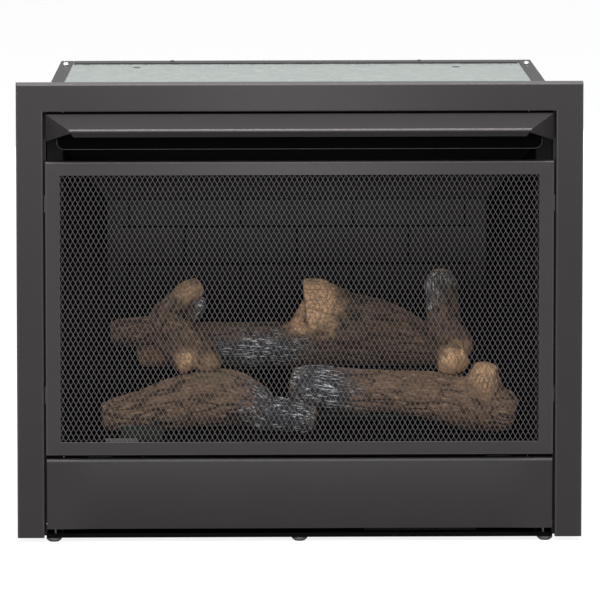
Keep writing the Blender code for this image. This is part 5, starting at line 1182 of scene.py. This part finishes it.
def add_log(name, limbs, seat, smoke, zones):
    """A log made of limbs, flattened where it lies on its seat, with its painted zones.
    The number after the seat says how much its bark is darkened as a painted shade, more or
    less by a quarter over 60 mm.  Each zone: what it is, its centre as shares of the solid's
    box, its half sizes in millimetres and how strong it is."""
    low, high = (np.array(corner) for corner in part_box(name))
    shapes, heights, ends, woods = zip(*limbs)
    points, faces = merged(*shapes)
    if seat is not None:
        points[:, 2] = np.maximum(points[:, 2], seat + 0.3 * MM)
    masks = {"char": 0, "moss": 0, "fresh": np.concatenate(ends)}
    for number, (kind, centre, size, strength) in enumerate(zones):
        place = low + (high - low) * np.array(centre)
        painted = strength * zone(points, place, np.array(size) * MM, 70 + number)
        masks[kind] = np.maximum(masks[kind], painted)
    piece = add_piece(name + "_skin", (points, faces), "casing", "bark", (name,), 180.0)
    masks["bark_height"] = np.concatenate(heights)
    masks["smoke"] = smoke * (0.75 + 0.5 * value_noise(points / (60 * MM) + 20, 69))
    for attribute, values in masks.items():
        give(piece, attribute, values)
    made = piece.data.attributes.new("along_log", "FLOAT_VECTOR", "POINT")
    made.data.foreach_set("vector", np.concatenate(woods).astype(np.float32).ravel())


def log_set():
    """The five logs, each from its own spine rows."""
    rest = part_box("rear_log_rest")[1].z
    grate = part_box("front_log_grate")[1].z
    # After each seat comes the log's painted shade: deep on the rear log and the branches, slight on
    # the front logs.
    add_log("rear_log", [bark_tube(REAR_LOG_SHARES, 11, 1, 0.1, 0.4),
                         bark_tube(STUMP_SHARES, 12, STUMP_FLATNESS_SHARES, 0.04),
                         bark_tube(STUMP_FOOT_SHARES, 13)], rest, 0.9, (
        ("char", (0.37, 0.16, 0.20), (62, 60, 22), 1.0),
        ("moss", (0.35, 0.3, 0.49), (74, 60, 10), 0.5),
        ("fresh", (0.56, 0.3, 0.76), (27, 70, 38), 0.95),
        ("fresh", (0.51, 0.3, 0.50), (17, 50, 9), 0.8),
        ("fresh", (0.05, 0.3, 0.20), (24, 60, 22), 0.5),
        ("moss", (0.64, 0.3, 0.62), (26, 70, 36), 0.4)))
    add_log("left_front_log", [bark_tube(LEFT_FRONT_SHARES, 21, 1, 0.1, 0.1),
                               bark_tube(LEFT_KNOT_SHARES, 22, 1, 0.3, 0.1)], grate, 0.2, (
        ("char", (0.84, 0.43, 0.28), (52, 70, 46), 1.0),
        ("moss", (0.53, 0.2, 0.93), (28, 60, 16), 0.5)))
    add_log("right_front_log", [bark_tube(RIGHT_FRONT_SHARES, 31, 1, 0.1, 0.1),
                                bark_tube(RIGHT_KNOT_SHARES, 32, 1, 0.3, 0.9)], grate, 0.1, (
        ("char", (0.11, 0.5, 0.5), (46, 80, 60), 1.0),
        ("fresh", (0.86, 0.15, 0.88), (21, 44, 26), 0.9),
        ("fresh", (0.82, 0.15, 0.76), (26, 40, 14), 0.4)))
    add_log("left_branch_log",
            [bark_tube(LEFT_BRANCH_SHARES, 41, 1, 0.3), bark_tube(LEFT_ARM_SHARES, 42, 1, 0.1, 0.1),
             bark_tube(LEFT_LEG_SHARES, 44, 1, 0.3, 0.5), bark_tube(LEFT_SPLINTER_SHARES, 43)],
            None, 0.7, (
        ("fresh", (0.86, 0.85, 0.88), (24, 40, 13), 0.6),
        ("moss", (0.80, 0.85, 0.80), (26, 40, 16), 0.4),
        ("char", (1.02, 0.8, 0.60), (13, 40, 24), 1.0),
        ("moss", (1.1, 0.0, 0.12), (14, 30, 16), 0.7),
        ("fresh", (1.06, 0.0, 0.12), (14, 30, 16), 0.35),
        ("fresh", (0.82, 0.05, 0.15), (15, 24, 15), 0.85)))
    add_log("right_branch_log",
            [bark_tube(RIGHT_BRANCH_SHARES, 51, 1, 0.4),
             bark_tube(RIGHT_BRANCH_KNOT_SHARES, 52, 1, 0.4, 0.4)], None, 0.9, (
        ("char", (0.35, 0.85, 0.97), (32, 60, 18), 0.5),
        ("char", (0.10, 0.85, 0.80), (15, 60, 34), 0.75),
        ("moss", (0.6, 0.6, 0.85), (24, 50, 24), 0.5),
        ("fresh", (0.64, 0.0, 0.14), (24, 30, 22), 1.0),
        ("fresh", (0.95, 0.2, 0.24), (15, 30, 14), 0.45)))


# Stage
def area_lamp(name, place, target, size, power):
    """A soft rectangular lamp that looks at a target."""
    data = bpy.data.lights.new(name, "AREA")
    data.shape = "RECTANGLE"
    data.size, data.size_y = size
    data.energy = power
    lamp = add_object(name, data)
    lamp.location = place
    lamp.rotation_euler = (Vector(target) - Vector(place)).to_track_quat("-Z", "Y").to_euler()
    return lamp


def seen_strength(node, seen, mirrored, plain):
    """One strength for what the camera sees, one for what reflections and glass show, and one
    for the light that falls on matt surfaces."""
    path = node("LightPath")
    shown = node("Math", {
        0: path.outputs["Is Glossy Ray"],
        1: path.outputs["Is Transmission Ray"]}, operation="MAXIMUM")
    strength = node("Math", {0: shown, 1: mirrored - plain, 2: plain}, operation="MULTIPLY_ADD")
    return node("Math", {
        0: path.outputs["Is Camera Ray"], 1: seen - plain, 2: strength}, operation="MULTIPLY_ADD")


def white_room():
    """White to the camera and to reflections, and a plain soft light to everything else."""
    world = bpy.data.worlds.new("white_room")
    bpy.context.scene.world = world
    world.use_nodes = True
    world.node_tree.nodes.clear()
    node = partial(add_node, world.node_tree)
    sky = node("Background", {"Color": (1, 1, 1, 1), "Strength": seen_strength(node, 1.0, 1.0, 0.32)})
    node("OutputWorld", {"Surface": sky})


def pale_floor():
    """A wide pale floor that keeps the object's faint shadow and shows white around it."""
    made, node = empty_finish("pale_floor")
    matt = node("BsdfDiffuse", {"Color": opaque("929292")})
    glow = node("Emission", {"Color": (1, 1, 1, 1), "Strength": seen_strength(node, 0.86, 0.1, 0.0)})
    both = node("AddShader", {0: matt, 1: glow})
    node("OutputMaterial", {"Surface": both})
    reach = 12.0
    mesh = bpy.data.meshes.new("floor")
    mesh.from_pydata([(-reach, -reach, 0), (reach, -reach, 0), (reach, reach, 0), (-reach, reach, 0)],
                     [], [(0, 1, 2, 3)])
    mesh.materials.append(made)
    add_object("floor", mesh)


def camera():
    """The camera: a long lens a little above and to the left, as in the photograph."""
    aside, sensor_width, far = 0.4 * MM, 36, 100
    stage = bpy.context.scene.fireplace_stage
    data = bpy.data.cameras.new("camera")
    data.sensor_width = sensor_width
    data.lens = stage.lens
    data.clip_end = far
    view = add_object("camera", data)
    away = Vector((math.sin(stage.camera_turn) * math.cos(stage.camera_height),
                   -math.cos(stage.camera_turn) * math.cos(stage.camera_height),
                   math.sin(stage.camera_height)))
    view.location = Vector((aside, FACE_Y, stage.aim_height)) + away * stage.camera_distance
    view.rotation_euler = (-away).to_track_quat("-Z", "Y").to_euler()
    bpy.context.scene.camera = view


# Each lamp: its place, the point that it looks at, its width and height, and what doesn't see it.
LAMPS = {
    "key": ((-0.2, -2.0, 2.3), (0, 0, 0.3), (2.0, 1.2), ()),
    "overhead": ((0.0, -0.5, 2.5), (0, 0, 0.4), (2.2, 0.3), ()),
    "fill": ((-0.4, -3.2, 1.1), (0, 0, 0.3), (2.4, 1.6), ()),
    "card": ((0.0, -0.9, 0.43), (0, 0, 0.5), (0.2, 0.1), ("visible_diffuse", "visible_camera")),
    "rear": ((-0.5, 3.0, 0.32), (0, 0, 0.3), (2.4, 0.4), ("visible_camera",)),
}


def lamps():
    """A soft box that looks down into the opening, a strip overhead, a weak fill in front, a
    small near card that only shows as a sheen on upright faces, and a low lamp behind for the
    back."""
    stage = bpy.context.scene.fireplace_stage
    for name, (place, target, size, unseen) in LAMPS.items():
        lamp = area_lamp(name, place, target, size, getattr(stage, name))
        for ray in unseen:
            setattr(lamp, ray, False)


# Operators
class FIREPLACE_OT_finishes(bpy.types.Operator):
    """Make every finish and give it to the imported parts"""
    bl_idname = "fireplace.finishes"
    bl_label = "Finishes"
    bl_options = {"REGISTER", "UNDO"}

    def execute(self, context):
        make_finishes()
        for row in frame["record"]["subparts"]:
            mesh = frame["nodes"][row["node"]].data
            mesh.materials.clear()
            mesh.materials.append(FINISHES[
                OWN_FINISHES.get(row["node"], NODE_FINISHES[row["material_slot"]])])
        return {"FINISHED"}


class FIREPLACE_OT_trim(bpy.types.Operator):
    """Skin the trim, the hood and the deflector under it"""
    bl_idname = "fireplace.trim"
    bl_label = "Trim and hood"
    bl_options = {"REGISTER", "UNDO"}

    def execute(self, context):
        surround_skin()
        hood_skin()
        baffle_skin()
        baffle_hem()
        cement_beads()
        brick_lining()
        return {"FINISHED"}


class FIREPLACE_OT_screen(bpy.types.Operator):
    """Skin the screen's frame and expand its net"""
    bl_idname = "fireplace.screen"
    bl_label = "Screen"
    bl_options = {"REGISTER", "UNDO"}

    def execute(self, context):
        screen_frame_skin()
        expanded_metal()
        bare_plate()
        return {"FINISHED"}


class FIREPLACE_OT_door(bpy.types.Operator):
    """Skin the lower door and its controls"""
    bl_idname = "fireplace.door"
    bl_label = "Door and controls"
    bl_options = {"REGISTER", "UNDO"}

    def execute(self, context):
        door_skin()
        knob_skin()
        control_marks()
        return {"FINISHED"}


class FIREPLACE_OT_logs(bpy.types.Operator):
    """Give the five logs their bark and the burner its ports"""
    bl_idname = "fireplace.logs"
    bl_label = "Logs and burner"
    bl_options = {"REGISTER", "UNDO"}

    def execute(self, context):
        log_set()
        burner_ports()
        return {"FINISHED"}


class FIREPLACE_OT_screws(bpy.types.Operator):
    """Make the screws and rivets of the top"""
    bl_idname = "fireplace.screws"
    bl_label = "Screws"
    bl_options = {"REGISTER", "UNDO"}

    def execute(self, context):
        top_screws()
        return {"FINISHED"}


class FIREPLACE_OT_stage(bpy.types.Operator):
    """Set up the camera, the lamps, the floor and the white around them"""
    bl_idname = "fireplace.stage"
    bl_label = "Stage"
    bl_options = {"REGISTER", "UNDO"}

    def execute(self, context):
        white_room()
        pale_floor()
        camera()
        lamps()
        context.scene.view_settings.view_transform = "Standard"
        return {"FINISHED"}


OPERATORS = (FIREPLACE_OT_finishes, FIREPLACE_OT_trim, FIREPLACE_OT_screen, FIREPLACE_OT_door,
             FIREPLACE_OT_logs, FIREPLACE_OT_screws, FIREPLACE_OT_stage)
SETTINGS = {"fireplace_sheet": SheetSettings, "fireplace_logs": LogSettings,
            "fireplace_colours": ColourSettings, "fireplace_stage": StageSettings}


class FIREPLACE_PT_panel(bpy.types.Panel):
    """The insert's settings and the buttons that build it"""
    bl_label = "Gas Fireplace Insert"
    bl_idname = "FIREPLACE_PT_panel"
    bl_space_type = "VIEW_3D"
    bl_region_type = "UI"
    bl_category = "Fireplace"

    def draw(self, context):
        for name, group in SETTINGS.items():
            box = self.layout.box()
            for setting in group.__annotations__:
                box.prop(getattr(context.scene, name), setting)
        for each in OPERATORS:
            self.layout.operator(each.bl_idname)


def register():
    """Add the settings, the operators and the panel."""
    for name, group in SETTINGS.items():
        bpy.utils.register_class(group)
        setattr(bpy.types.Scene, name, PointerProperty(type=group))
    for each in (*OPERATORS, FIREPLACE_PT_panel):
        bpy.utils.register_class(each)


def unregister():
    """Take them away again."""
    for each in reversed((*OPERATORS, FIREPLACE_PT_panel)):
        bpy.utils.unregister_class(each)
    for name, group in SETTINGS.items():
        delattr(bpy.types.Scene, name)
        bpy.utils.unregister_class(group)


def main():
    """Build everything in order."""
    register()
    bpy.ops.fireplace.finishes()
    bpy.ops.fireplace.trim()
    bpy.ops.fireplace.screen()
    bpy.ops.fireplace.door()
    bpy.ops.fireplace.logs()
    bpy.ops.fireplace.screws()
    bpy.ops.fireplace.stage()


if __name__ == "__main__":
    main()
